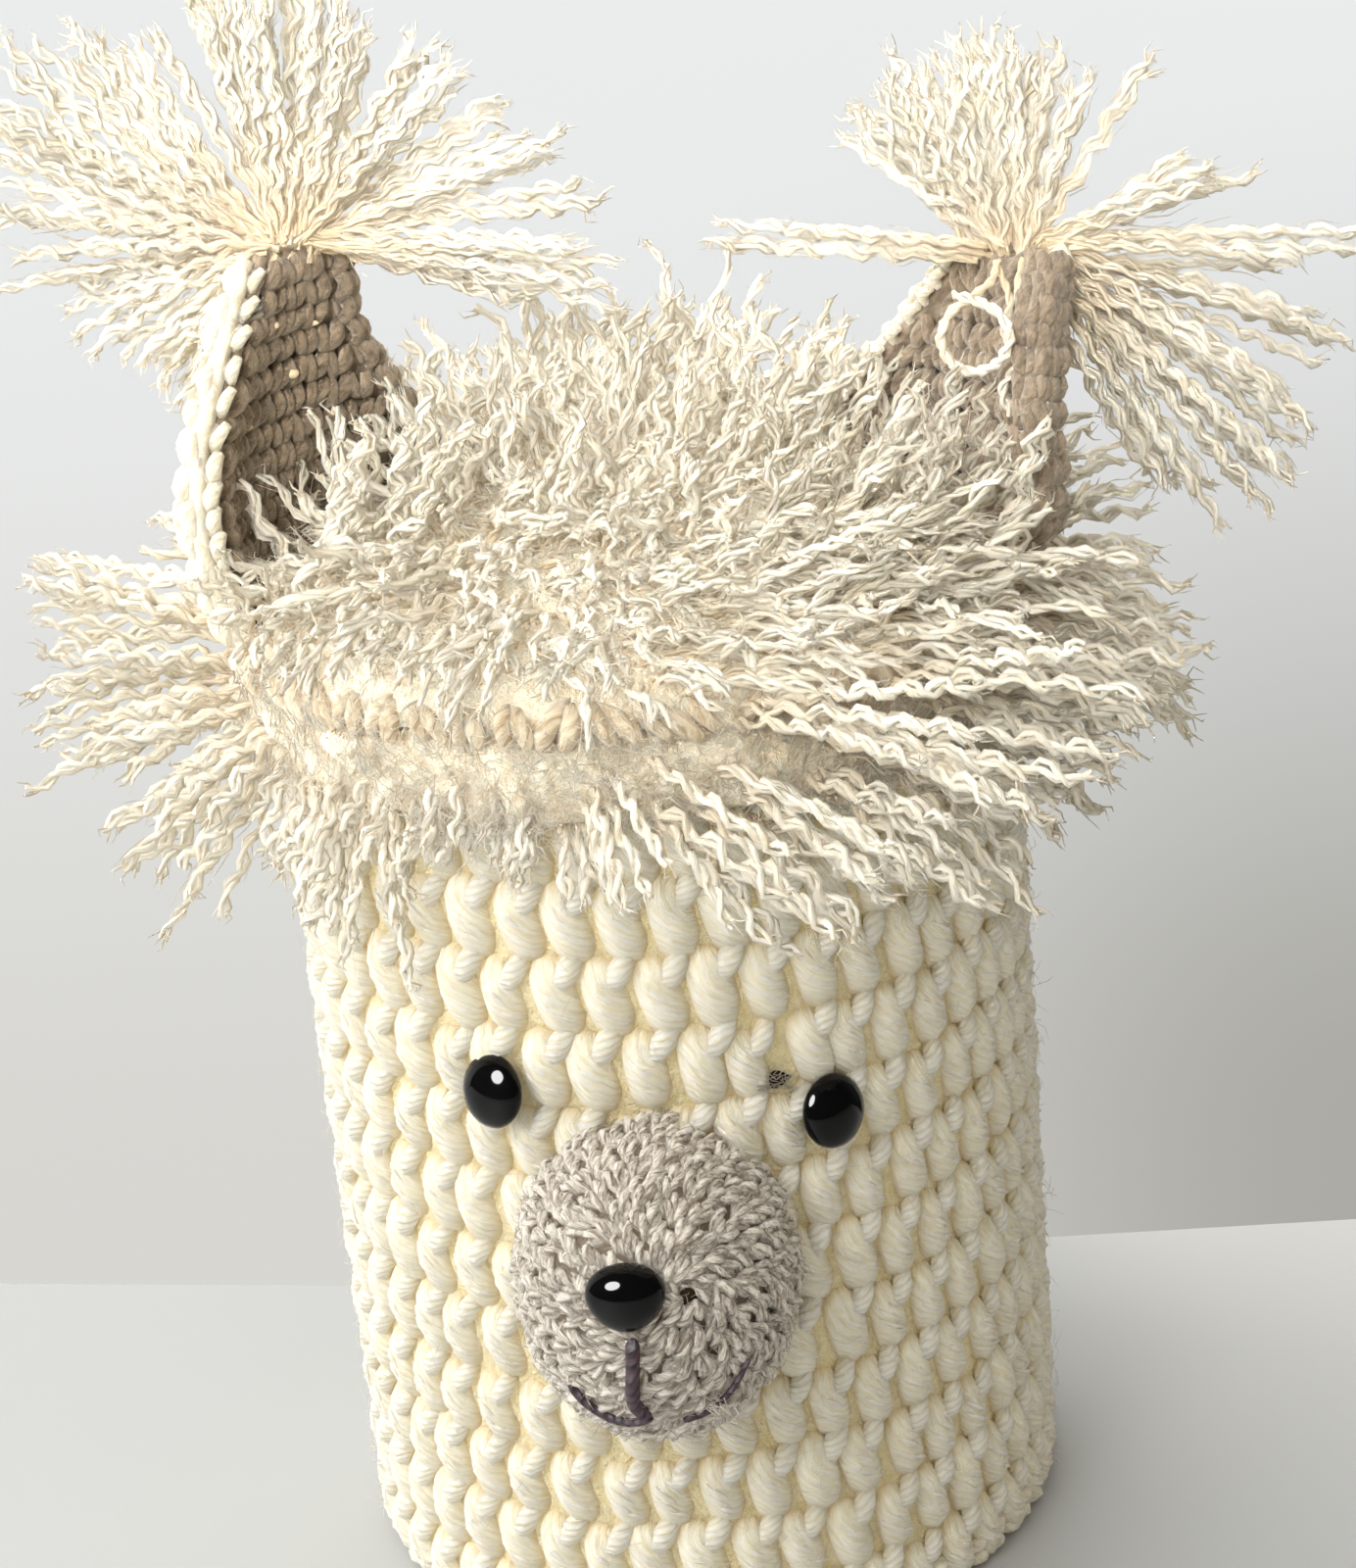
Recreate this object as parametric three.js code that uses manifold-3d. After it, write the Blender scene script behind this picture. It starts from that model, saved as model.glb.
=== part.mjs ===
// Crocheted toilet roll cover with an animal's face: a hollow cream tube that stands on
// its hem, closed by a hairy head cap, with a fringe, two cupped ears, tassels, a stuffed
// snout, a nose, eyes and a stitched mouth. Millimetres, +Z up, the face looks along -Y,
// and the origin is the middle of the hem's circle on the surface it stands on.
import * as THREE from 'three';
import { mergeVertices } from 'three/addons/utils/BufferGeometryUtils.js';
import Module from 'manifold-3d';

const wasm = await Module();
wasm.setup();

// Driving dimensions
const BODY_HEIGHT = 165;
const ROW_COUNT = 13;
const ROW_HEIGHT = BODY_HEIGHT / ROW_COUNT;
const BODY_RADIUS = 62; // crest of a row
const GROOVE_DEPTH = 1.6;
const INNER_RADIUS = 56.5;
const LIP_RADIUS = 50; // the last round turns in to here
const LIP_THICKNESS = 4.5;
const HEM_BEVEL = 1.5;
const SEAM_GAP = 0.3; // between pieces that touch

const CAP_RADIUS = 65.5;
const CAP_THICKNESS = 4.2; // the crocheted round under the pile
const CAP_EDGE = 1; // how far its edges are rounded off
const CAP_BOTTOM = BODY_HEIGHT + SEAM_GAP;
const PILE_BOTTOM = CAP_BOTTOM + CAP_THICKNESS;
const PILE_HEIGHT = 27;
const PILE_RADIUS = 68.8;

const FRINGE_TOP = BODY_HEIGHT - 0.5;
const FRINGE_BOTTOM = 147;
const LEFT_REACH = 113; // of the fringe, from the axis
const RIGHT_REACH = 98;
const BACK_REACH = 92;

const EAR_THICKNESS = 6; // both layers together
const EAR_BOTTOM = PILE_BOTTOM + SEAM_GAP;

const SNOUT = { x: -1.5, z: 75, halfWidth: 21.5, halfHeight: 25.5, depth: 25, tilt: 9 };
const NOSE = {
  x: -4.2, z: 83.8, width: 12, height: 9.6, depth: 5, standOut: 1.2, edge: 2, tilt: 14,
};
const EYE_RADIUS = 6;
const EYE_HEIGHT = 4.6;
const EYE_RIM = 0.8; // straight part under the dome
const THREAD_RADIUS = 0.8;

const TURN = 2 * Math.PI;
const BODY_SIDES = 32;

// Colours and finishes
const finish = (color, roughness, metalness = 0) =>
  new THREE.MeshStandardMaterial({ color, roughness, metalness });
const creamYarn = finish(0xf3edd0, 0.95);
const hairYarn = finish(0xe9dfca, 0.95);
const taupeYarn = finish(0xb9aa9c, 0.95);
const blackGloss = finish(0x08080a, 0.08);
const plumThread = finish(0x3a2434, 0.7);

const group = new THREE.Group();

// ---- Small tools -------------------------------------------------------------------

// A geometry with its shared points merged, as a solid for joining and cutting.
function solid(geometry) {
  geometry.deleteAttribute('normal');
  geometry.deleteAttribute('uv');
  const merged = mergeVertices(geometry, 1e-4);
  return new wasm.Manifold(new wasm.Mesh({
    numProp: 3,
    vertProperties: new Float32Array(merged.attributes.position.array),
    triVerts: new Uint32Array(merged.index.array),
  }));
}

function addPiece(name, shape, material) {
  const mesh = shape.getMesh();
  const geometry = new THREE.BufferGeometry();
  geometry.setAttribute('position', new THREE.BufferAttribute(mesh.vertProperties, 3));
  geometry.setIndex(new THREE.BufferAttribute(mesh.triVerts, 1));
  geometry.computeVertexNormals();
  const piece = new THREE.Mesh(geometry, material);
  piece.name = name;
  group.add(piece);
}

// Moves every point of a geometry to where place(point) says.
function reshape(geometry, place) {
  const at = geometry.attributes.position;
  const point = new THREE.Vector3();
  for (let i = 0; i < at.count; i += 1) {
    place(point.fromBufferAttribute(at, i));
    at.setXYZ(i, point.x, point.y, point.z);
  }
  return geometry;
}

// A solid turned about +Z. The profile is a closed loop of [radius, height] points.
function turned(profile, sides) {
  const points = profile.map(([radius, height]) => new THREE.Vector2(radius, height));
  const geometry = new THREE.LatheGeometry(points, sides);
  return solid(geometry.rotateX(Math.PI / 2));
}

// A cylinder about +Z, to cut with.
function drum(radius, low, high, sides = BODY_SIDES) {
  const geometry = new THREE.CylinderGeometry(radius, radius, high - low, sides);
  geometry.rotateX(Math.PI / 2);
  return solid(geometry.translate(0, 0, (low + high) / 2));
}

// A lock of strands: a spindle that follows a curve, thickest a third of the way along.
const LOCK_SIDES = 5;
const LOCK_STEPS = 4;
const LOCK_SWELL = 0.35;
function lock(curve, rootRadius, tipRadius) {
  const profile = [new THREE.Vector2(0, 0)];
  for (let i = 0; i <= LOCK_STEPS; i += 1) {
    const along = i / LOCK_STEPS;
    const swell = 1 + LOCK_SWELL * Math.sin(Math.PI * Math.min(1, along * 1.5));
    const radius = THREE.MathUtils.lerp(rootRadius, tipRadius, along) * swell;
    profile.push(new THREE.Vector2(radius, along));
  }
  profile.push(new THREE.Vector2(0, 1));
  const frames = curve.computeFrenetFrames(LOCK_STEPS, false);
  const spindle = new THREE.LatheGeometry(profile, LOCK_SIDES);
  return solid(reshape(spindle, (point) => {
    const step = Math.round(point.y * LOCK_STEPS);
    const centre = curve.getPoint(point.y);
    centre.addScaledVector(frames.normals[step], point.x);
    centre.addScaledVector(frames.binormals[step], -point.z);
    point.copy(centre);
  }));
}

function joined(shapes) {
  return shapes.reduce((whole, shape) => whole.add(shape));
}

// ---- Body: a tube in 13 rounds, its hem flat on the surface ---------------------------

function bodyProfile() {
  const outside = [];
  for (let row = 0; row < ROW_COUNT; row += 1) {
    const low = row * ROW_HEIGHT;
    if (row > 0) outside.push([BODY_RADIUS - GROOVE_DEPTH, low]);
    outside.push([BODY_RADIUS, low + ROW_HEIGHT * (row > 0 ? 0.5 : 0.4)]);
  }
  return [
    [INNER_RADIUS + HEM_BEVEL, 0],
    [BODY_RADIUS - HEM_BEVEL, 0],
    ...outside,
    [BODY_RADIUS - GROOVE_DEPTH, BODY_HEIGHT],
    [LIP_RADIUS, BODY_HEIGHT],
    [LIP_RADIUS, BODY_HEIGHT - LIP_THICKNESS],
    [INNER_RADIUS, BODY_HEIGHT - 2 * LIP_THICKNESS],
    [INNER_RADIUS, HEM_BEVEL],
    [INNER_RADIUS + HEM_BEVEL, 0],
  ];
}
addPiece('body', turned(bodyProfile(), BODY_SIDES), creamYarn);

// ---- Ears: two cupped layers each, a section for each height ---------------------------
// Columns: height; the front edge's x, y; the back edge's x, y; depth of the cup.
const EARS = {
  left: {
    outward: -1,
    sections: [
      [EAR_BOTTOM, -57, -22, -26, 32, 21],
      [184, -60.5, -20, -31, 27, 24],
      [198, -60, -18, -38.5, 18, 21],
      [214, -59.5, -12, -44.5, 10, 13],
      [228, -59, -6, -44, 4, 8],
    ],
  },
  right: {
    outward: 1,
    sections: [
      [EAR_BOTTOM, 58, -22, 26, 33, 14],
      [182, 69, -20, 31, 27, 13],
      [196, 70, -16, 40, 19, 11],
      [209, 71, -11, 50, 10, 9],
      [219, 72, -6, 57, 4, 7],
    ],
  },
};
const EAR_AROUND = 8;
const EAR_UP = 6;

// The section at a height between 0 and 1 of the way up, by smooth interpolation.
function earSection(ear, up) {
  const last = ear.sections.length - 1;
  const place = up * last;
  const low = Math.min(Math.floor(place), last - 1);
  const part = place - low;
  return ear.sections[low].map((value, column) =>
    THREE.MathUtils.lerp(value, ear.sections[low + 1][column], part));
}

// A layer of an ear, from one distance off its middle surface to another. grow makes the
// room that the pile leaves round it.
function earLayer(ear, inside, outside, grow = 0) {
  const block = new THREE.BoxGeometry(1, 1, 1, EAR_AROUND, EAR_UP, 1);
  return solid(reshape(block, (point) => {
    const [height, fx, fy, bx, by, depth] = earSection(ear, point.y + 0.5);
    const halfChord = Math.hypot(bx - fx, by - fy) / 2;
    const alongX = (bx - fx) / (2 * halfChord);
    const alongY = (by - fy) / (2 * halfChord);
    const outX = ear.outward * Math.abs(alongY);
    const outY = Math.abs(alongX);
    const angle = Math.PI * (point.x + 0.5);
    const off = THREE.MathUtils.lerp(inside, outside, ear.outward * point.z + 0.5);
    const past = Math.abs(point.x) > 0.49 ? grow : 0;
    const chord = -Math.cos(angle) * (halfChord + off);
    const bulge = Math.sin(angle) * (depth + off) - past;
    const middleX = (fx + bx) / 2;
    const middleY = (fy + by) / 2;
    const lift = Math.abs(point.y) > 0.49 ? grow * Math.sign(point.y) : 0;
    point.set(
      middleX + alongX * chord + outX * bulge,
      middleY + alongY * chord + outY * bulge,
      height + lift,
    );
  }));
}

const earRooms = [];
for (const [side, ear] of Object.entries(EARS)) {
  const half = EAR_THICKNESS / 2;
  const outer = earLayer(ear, SEAM_GAP, half);
  const behind = earLayer(ear, 0, half + SEAM_GAP, SEAM_GAP);
  const inner = earLayer(ear, -half, half - SEAM_GAP).subtract(behind);
  addPiece(`ear_outer_${side}`, outer, creamYarn);
  addPiece(`ear_inner_${side}`, inner, taupeYarn);
  earRooms.push(earLayer(ear, -half - SEAM_GAP, half + SEAM_GAP, SEAM_GAP));
}

// ---- Head cap: a flat crocheted round, and the tufted pile on it -----------------------

const CAP_SIDES = 32;
const PILE_STEPS = 7;
const TUFT = 0.05; // how far the tufts stand in and out, as part of the radius
const TUFT_WAVE = 2.5; // how far they stand up and down
const OVERHANG = 0.2; // of the pile at the right and the back, as part of the radius
const BACK_RISE = 0.16; // how much higher the pile gets for each millimetre towards the back
const TUFT_ROOT = 4;
const TUFT_TIP = 1.6;
function headCap() {
  const profile = [
    [0, CAP_BOTTOM],
    [CAP_RADIUS - CAP_EDGE, CAP_BOTTOM],
    [CAP_RADIUS, PILE_BOTTOM - 2 * CAP_EDGE],
    [CAP_RADIUS - CAP_EDGE, PILE_BOTTOM],
  ];
  for (let i = 0; i < PILE_STEPS; i += 1) {
    const rise = (Math.PI / 2) * ((i + 0.6) / PILE_STEPS);
    const radius = PILE_RADIUS * Math.cos(rise) ** 0.6;
    profile.push([radius, PILE_BOTTOM + PILE_HEIGHT * Math.sin(rise)]);
  }
  profile.push([0, PILE_BOTTOM + PILE_HEIGHT]);
  const points = profile.map(([radius, height]) => new THREE.Vector2(radius, height));
  const cap = new THREE.LatheGeometry(points, CAP_SIDES).rotateX(Math.PI / 2);
  // The tufts turn round the cap. They hang over the right side and the back, and stand
  // higher at the back than over the face.
  return solid(reshape(cap, (point) => {
    const above = Math.max(0, point.z - PILE_BOTTOM) / PILE_HEIGHT;
    const around = Math.atan2(point.x, -point.y);
    const out = Math.hypot(point.x, point.y) / CAP_RADIUS;
    const tuft = TUFT * Math.sin(9 * around + 14 * above) * out;
    const overhang = OVERHANG * Math.max(0, 0.35 - Math.cos(around - 0.5)) * (1 - above);
    const spread = 1 + above ** 0.4 * (tuft + overhang);
    const wave = TUFT_WAVE * Math.sin(5 * around + 6 * out) * out;
    point.z += above * (wave + BACK_RISE * point.y);
    point.x *= spread;
    point.y *= spread;
  }));
}

// Tufts that stand up and out round the back of the cap, from one side to the other.
const BACK_TUFTS = 9;
const BACK_TUFT_START = { radius: CAP_RADIUS - 8, height: PILE_BOTTOM + 6 };
function backTufts() {
  const tufts = [];
  for (let index = 0; index < BACK_TUFTS; index += 1) {
    const azimuth = TURN * (0.27 + 0.46 * (index / (BACK_TUFTS - 1)));
    const reach = 23 + 4 * Math.sin(2.2 * index);
    const rise = 15 + 9 * Math.cos(1.9 * index);
    const at = (out, up) => new THREE.Vector3(
      (BACK_TUFT_START.radius + out) * Math.sin(azimuth),
      -(BACK_TUFT_START.radius + out) * Math.cos(azimuth),
      BACK_TUFT_START.height + up,
    );
    const curve = new THREE.QuadraticBezierCurve3(
      at(0, 0), at(reach * 0.45, rise * 0.8), at(reach, rise),
    );
    tufts.push(lock(curve, TUFT_ROOT, TUFT_TIP));
  }
  return tufts;
}

// The largest piece of a shape, so that no crumb is left where a cut crosses its edge.
function largest(shape) {
  return shape.decompose().reduce((best, part) => (part.volume() > best.volume() ? part : best));
}
const tufted = joined([headCap(), ...backTufts()]);
const capWithEars = earRooms.reduce((left, room) => left.subtract(room), tufted);
addPiece('head_cap', largest(capWithEars), hairYarn);

// ---- Fringe: one comb, a band round the body with locks at three slopes ----------------

const FRINGE_LOCKS = 24;
const LOCK_ROOT = 4.6;
const LOCK_TIP = 2.2;
// Columns: height of the root; at the sides, slope in degrees and part of the full length;
// over the face, how far the tip hangs down and how far it stands off the body.
const TIERS = [
  [157.5, 7, 1, 15, 6],
  [155, -18, 0.95, 19, 7],
  [152, -42, 0.9, 26, 5],
];

// How far the fringe reaches from the axis.
function reachAt(azimuth) {
  const sideReach = Math.sin(azimuth) > 0 ? RIGHT_REACH : LEFT_REACH;
  return THREE.MathUtils.lerp(BACK_REACH, sideReach, Math.sin(azimuth) ** 2);
}

// Where a lock starts and ends. Azimuth 0 is over the face, where the locks hang down;
// those at the sides and the back stand out, and the low ones droop more at the right.
function fringeLock(index) {
  const azimuth = (index / FRINGE_LOCKS) * TURN;
  const [startHeight, slope, share, hang, stand] = TIERS[index % TIERS.length];
  const overFace = THREE.MathUtils.smoothstep(Math.cos(azimuth), 0.3, 0.85);
  const low = index % TIERS.length === TIERS.length - 1 ? Math.max(0, Math.sin(azimuth)) : 0;
  const length = (reachAt(azimuth) - BODY_RADIUS) * share * (1 + 0.3 * low);
  const angle = THREE.MathUtils.degToRad(slope * (1 + 0.35 * low));
  const out = THREE.MathUtils.lerp(length * Math.cos(angle), stand, overFace);
  const rise = THREE.MathUtils.lerp(length * Math.sin(angle), -hang, overFace);
  const sway = 0.2 * Math.sin(azimuth) * overFace + 0.06 * Math.sin(2.4 * index);
  const at = (radius, turn, height) => new THREE.Vector3(
    radius * Math.sin(turn), -radius * Math.cos(turn), height,
  );
  return new THREE.QuadraticBezierCurve3(
    at(BODY_RADIUS, azimuth, startHeight),
    at(BODY_RADIUS + out * 0.5 + 2, azimuth + sway / 2, startHeight + rise * 0.35 + 2),
    at(BODY_RADIUS + out, azimuth + sway, startHeight + rise),
  );
}

// The facets' corners lie on the circle, so a bore is widened to clear the crests.
const CLEAR_BORE = (BODY_RADIUS + SEAM_GAP) / Math.cos(Math.PI / BODY_SIDES);

// The packed part of the fringe, with a tooth under each lock. It hangs close to the body
// over the face and opens like a fan at the sides and the back.
// Columns: over the face, how far out and how high; then the same at the left side; then
// how deep the gaps between teeth go, as part of the way out.
const RUFF = [
  [-4, FRINGE_BOTTOM, -4, FRINGE_BOTTOM, 0],
  [3.2, FRINGE_BOTTOM, 6, 143, 0],
  [3.6, 149, 20, 136, 0.15],
  [5, 152, 33, 129, 0.3],
  [5.6, 156.5, 42, 150, 0.3],
  [4.6, 160.5, 38, 173, 0.3],
  [2.8, 162.8, 23, 164, 0],
  [-4, FRINGE_TOP, -4, FRINGE_TOP, 0],
];
function ruff() {
  const points = [...RUFF, RUFF[0]].map((row, index) => new THREE.Vector2(10, index));
  const band = new THREE.LatheGeometry(points, 2 * FRINGE_LOCKS);
  return solid(reshape(band, (point) => {
    const step = Math.round((Math.atan2(point.x, point.z) / TURN) * 2 * FRINGE_LOCKS);
    const azimuth = (step / (2 * FRINGE_LOCKS)) * TURN;
    const [faceOut, faceHeight, sideOut, sideHeight, gap] = RUFF[Math.round(point.y) % RUFF.length];
    const overFace = THREE.MathUtils.smoothstep(Math.cos(azimuth), 0.3, 0.85);
    const share = (reachAt(azimuth) - BODY_RADIUS) / (LEFT_REACH - BODY_RADIUS);
    const wide = sideOut > 0 ? sideOut * share : sideOut;
    const tooth = 1 - (step % 2 === 0 ? 0 : gap);
    const radius = BODY_RADIUS + THREE.MathUtils.lerp(wide, faceOut, overFace) * tooth;
    const height = THREE.MathUtils.lerp(sideHeight, faceHeight, overFace);
    point.set(radius * Math.sin(azimuth), -radius * Math.cos(azimuth), height);
  }));
}

function fringe() {
  const locks = [];
  for (let index = 0; index < FRINGE_LOCKS; index += 1) {
    locks.push(lock(fringeLock(index), LOCK_ROOT, LOCK_TIP));
  }
  return joined([ruff(), ...locks]).subtract(drum(CLEAR_BORE, 0, BODY_HEIGHT + 1));
}
addPiece('fringe', fringe(), hairYarn);

// ---- Tassels: locks that fan out of a knot on each ear's tip ---------------------------
// Columns: lean from upright towards +X in degrees; length; droop of the tip; depth in y.
const TASSELS = {
  left: {
    knot: [-51, -1, 232],
    locks: [
      [-100, 32, 9, 6], [-72, 44, 3, -12], [-54, 48, 2, 10], [-34, 46, 0, -8], [-12, 43, 0, 12],
      [10, 42, 0, -14], [28, 43, 0, 9], [48, 44, 2, -10], [70, 46, 4, 12], [92, 48, 6, -5],
    ],
  },
  right: {
    knot: [65, -1, 223],
    locks: [
      [-84, 46, 0, -6], [-48, 36, 0, 10], [-25, 34, 0, -9], [-4, 32, 0, 8], [18, 32, 0, -12],
      [42, 36, 0, 9], [74, 36, 2, -8], [90, 48, 6, 8], [90, 46, 26, -6], [90, 31, 46, 9],
    ],
  },
};
const KNOT_RADIUS = 8;
const TASSEL_ROOT = 9; // half the thickness at the knot
const TASSEL_TIP = 2;
const TASSEL_GAP = 0.62; // how far out the gaps between locks reach, as part of the locks
const TIP_ROOM = 14; // half the width of an ear's tip, and more

// Midway between two locks.
function between(first, second) {
  return first.map((value, column) => (value + second[column]) / 2);
}

// The directions of a tassel in turn: a lock, a gap, a lock and so on, then the short way
// round under the knot.
function tasselWays(locks) {
  const ways = [];
  locks.forEach((row, index) => {
    if (index > 0) {
      const [lean, length, droop, depth] = between(locks[index - 1], row);
      ways.push([lean, length * TASSEL_GAP, droop * TASSEL_GAP, depth]);
    }
    ways.push(row);
  });
  for (const lean of [125, 180, 235]) ways.push([lean, KNOT_RADIUS, 0, 0]);
  return ways;
}

function tassel({ knot, locks }) {
  const [x, y, z] = knot;
  const ways = tasselWays(locks);
  const steps = [0, 0.3, 0.65, 1];
  const points = [
    ...steps.map((along) => new THREE.Vector2(along, -1)),
    ...steps.toReversed().map((along) => new THREE.Vector2(along, 1)),
  ];
  const fan = new THREE.LatheGeometry(points, ways.length);
  return solid(reshape(fan, (point) => {
    const turn = Math.atan2(point.x, point.z) / TURN;
    const way = (Math.round(turn * ways.length) + ways.length) % ways.length;
    const along = Math.hypot(point.x, point.z);
    const [lean, length, droop, depth] = ways[way];
    const angle = THREE.MathUtils.degToRad(lean);
    const half = THREE.MathUtils.lerp(TASSEL_ROOT, TASSEL_TIP, along ** 0.7);
    point.set(
      x + Math.sin(angle) * length * along,
      y + depth * along + half * Math.sign(point.y),
      z + Math.cos(angle) * length * along - droop * along ** 3,
    );
  }));
}
for (const [side, row] of Object.entries(TASSELS)) {
  const ear = EARS[side];
  const floor = ear.sections[ear.sections.length - 1][0] + SEAM_GAP;
  const [x, y] = row.knot;
  const earRoom = drum(TIP_ROOM, floor - TIP_ROOM, floor).translate([x, y, 0]);
  addPiece(`tassel_${side}`, tassel(row).subtract(earRoom), hairYarn);
}

// ---- Snout: a stuffed dome that leans up a little --------------------------------------

const SNOUT_RINGS = 7;
const SNOUT_SIDES = 24;

// A point of the snout's skin, a distance off it, from the way it faces off the axis.
function snoutPoint(around, out, off = 0) {
  const local = new THREE.Vector3(
    (SNOUT.halfWidth + off) * Math.sin(out) * Math.cos(around),
    -(SNOUT.depth + off) * Math.cos(out),
    (SNOUT.halfHeight + off) * Math.sin(out) * Math.sin(around),
  );
  local.applyAxisAngle(new THREE.Vector3(1, 0, 0), -THREE.MathUtils.degToRad(SNOUT.tilt));
  return local.add(new THREE.Vector3(SNOUT.x, -BODY_RADIUS, SNOUT.z));
}

function snout(off = 0) {
  const ball = new THREE.SphereGeometry(1, SNOUT_SIDES, 2 * SNOUT_RINGS);
  return solid(reshape(ball, (point) => {
    const out = Math.acos(THREE.MathUtils.clamp(-point.y, -1, 1));
    const around = Math.atan2(point.z, point.x);
    point.copy(snoutPoint(around, out, off));
  }));
}
addPiece('snout', snout().subtract(drum(CLEAR_BORE, 0, BODY_HEIGHT)), taupeYarn);

// ---- Nose: a rounded triangle, wide side up, domed in front ----------------------------

function nose() {
  const { width, height, depth } = NOSE;
  const outline = new THREE.Shape();
  outline.moveTo(-width * 0.22, height * 0.5);
  outline.lineTo(width * 0.22, height * 0.5);
  outline.quadraticCurveTo(width * 0.56, height * 0.5, width * 0.48, height * 0.12);
  outline.quadraticCurveTo(width * 0.3, -height * 0.44, 0, -height * 0.5);
  outline.quadraticCurveTo(-width * 0.3, -height * 0.44, -width * 0.48, height * 0.12);
  outline.quadraticCurveTo(-width * 0.56, height * 0.5, -width * 0.22, height * 0.5);
  const block = new THREE.ExtrudeGeometry(outline, {
    depth,
    curveSegments: 3,
    bevelThickness: NOSE.edge,
    bevelSize: NOSE.edge,
    bevelOffset: -NOSE.edge,
    bevelSegments: 2,
  });
  block.rotateX(Math.PI / 2 - THREE.MathUtils.degToRad(NOSE.tilt));
  const front = -BODY_RADIUS - SNOUT.depth - NOSE.standOut;
  return solid(block.translate(NOSE.x, front + depth, NOSE.z)).subtract(snout(SEAM_GAP));
}
addPiece('nose', nose(), blackGloss);

// ---- Eyes: low glossy domes, one a little higher than the other ------------------------
// Columns: azimuth in degrees, height.
const EYES = { left: [-23.2, 105.5], right: [26.2, 98] };
const EYE_SIDES = 16;
const EYE_STEPS = 4;
function eye([azimuth, height]) {
  const profile = [new THREE.Vector2(0, 0)];
  for (let i = 0; i < EYE_STEPS; i += 1) {
    const rise = (Math.PI / 2) * (i / EYE_STEPS);
    const height = EYE_RIM + EYE_HEIGHT * Math.sin(rise);
    profile.push(new THREE.Vector2(EYE_RADIUS * Math.cos(rise), height));
  }
  profile.push(new THREE.Vector2(0, EYE_RIM + EYE_HEIGHT));
  const dome = new THREE.LatheGeometry(profile, EYE_SIDES).rotateX(Math.PI);
  dome.translate(0, -BODY_RADIUS - SEAM_GAP, 0);
  dome.rotateZ(THREE.MathUtils.degToRad(azimuth));
  return solid(dome.translate(0, 0, height));
}
for (const [side, row] of Object.entries(EYES)) {
  addPiece(`eye_${side}`, eye(row), blackGloss);
}

// ---- Mouth: dark thread stitched on the snout ------------------------------------------
// Each row is a stitch's points: x and z seen from the front.
const MOUTH = {
  middle: [[-3.6, 77], [-3.4, 71], [-4, 65]],
  left: [[-15.6, 67.5], [-12.5, 63.4], [-8.2, 61.6], [-5.2, 62.4]],
  right: [[2.2, 61.6], [6.5, 62.4], [10, 64.8], [12.6, 69]],
};

// The point off the snout's skin that shows at x and z from the front.
function overSnout(x, z, off) {
  let best = null;
  let miss = Infinity;
  for (let i = 0; i <= 60; i += 1) {
    for (let j = 0; j < 120; j += 1) {
      const point = snoutPoint((j / 120) * TURN, (i / 60) * (Math.PI / 2), off);
      const away = Math.hypot(point.x - x, point.z - z);
      if (away < miss) {
        miss = away;
        best = point;
      }
    }
  }
  return best;
}

function thread(points) {
  const route = points.map(([x, z]) => overSnout(x, z, THREAD_RADIUS + SEAM_GAP));
  const section = new THREE.Shape().absarc(0, 0, THREAD_RADIUS, 0, TURN);
  return solid(new THREE.ExtrudeGeometry(section, {
    steps: 7, curveSegments: 3, extrudePath: new THREE.CatmullRomCurve3(route),
  }));
}
for (const [side, points] of Object.entries(MOUTH)) {
  addPiece(`mouth_${side}`, thread(points), plumThread);
}

export default group;
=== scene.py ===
"""Looks of the crocheted toilet roll cover: stitches, pile, fringe, tassels and face."""
from functools import partial
from math import atan2, cos, exp, hypot, pi, radians, sin, sqrt

import bmesh
import bpy
import numpy as np
from mathutils import Matrix, Vector, noise


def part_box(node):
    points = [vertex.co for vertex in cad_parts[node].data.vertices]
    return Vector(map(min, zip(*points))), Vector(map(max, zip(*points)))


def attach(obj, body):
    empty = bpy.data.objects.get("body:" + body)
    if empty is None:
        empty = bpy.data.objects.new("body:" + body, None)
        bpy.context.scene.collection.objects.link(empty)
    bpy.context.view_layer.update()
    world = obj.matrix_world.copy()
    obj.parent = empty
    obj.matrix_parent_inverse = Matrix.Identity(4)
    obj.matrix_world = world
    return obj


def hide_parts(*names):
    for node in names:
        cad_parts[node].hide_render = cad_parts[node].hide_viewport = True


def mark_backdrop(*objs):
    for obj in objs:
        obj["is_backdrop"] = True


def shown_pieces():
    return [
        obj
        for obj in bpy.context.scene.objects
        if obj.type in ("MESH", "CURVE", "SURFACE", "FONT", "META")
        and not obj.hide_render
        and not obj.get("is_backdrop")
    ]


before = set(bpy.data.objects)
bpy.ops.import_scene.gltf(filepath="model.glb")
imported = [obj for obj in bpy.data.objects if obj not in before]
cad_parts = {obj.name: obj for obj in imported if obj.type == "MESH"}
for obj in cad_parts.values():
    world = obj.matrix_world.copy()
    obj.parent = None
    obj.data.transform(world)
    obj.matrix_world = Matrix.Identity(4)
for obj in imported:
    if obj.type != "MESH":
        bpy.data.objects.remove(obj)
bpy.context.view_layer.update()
MM = 0.001
UP = np.array([0, 0, 1.0])
scene = bpy.context.scene
chance = np.random.default_rng(11)
between = chance.uniform
noise.seed_set(11)


def stray(size, count=None):
    return chance.normal(0, size, count)


def vec(*parts):
    return np.array(parts, float)


def unit(vector):
    vector = np.asarray(vector, float)
    return vector / max(np.linalg.norm(vector), 1e-9)


def ease(value, low, high):
    """A share that rises smoothly from 0 at low to 1 at high."""
    part = min(1, max(0, (value - low) / (high - low)))
    return part * part * (3 - 2 * part)


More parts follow.
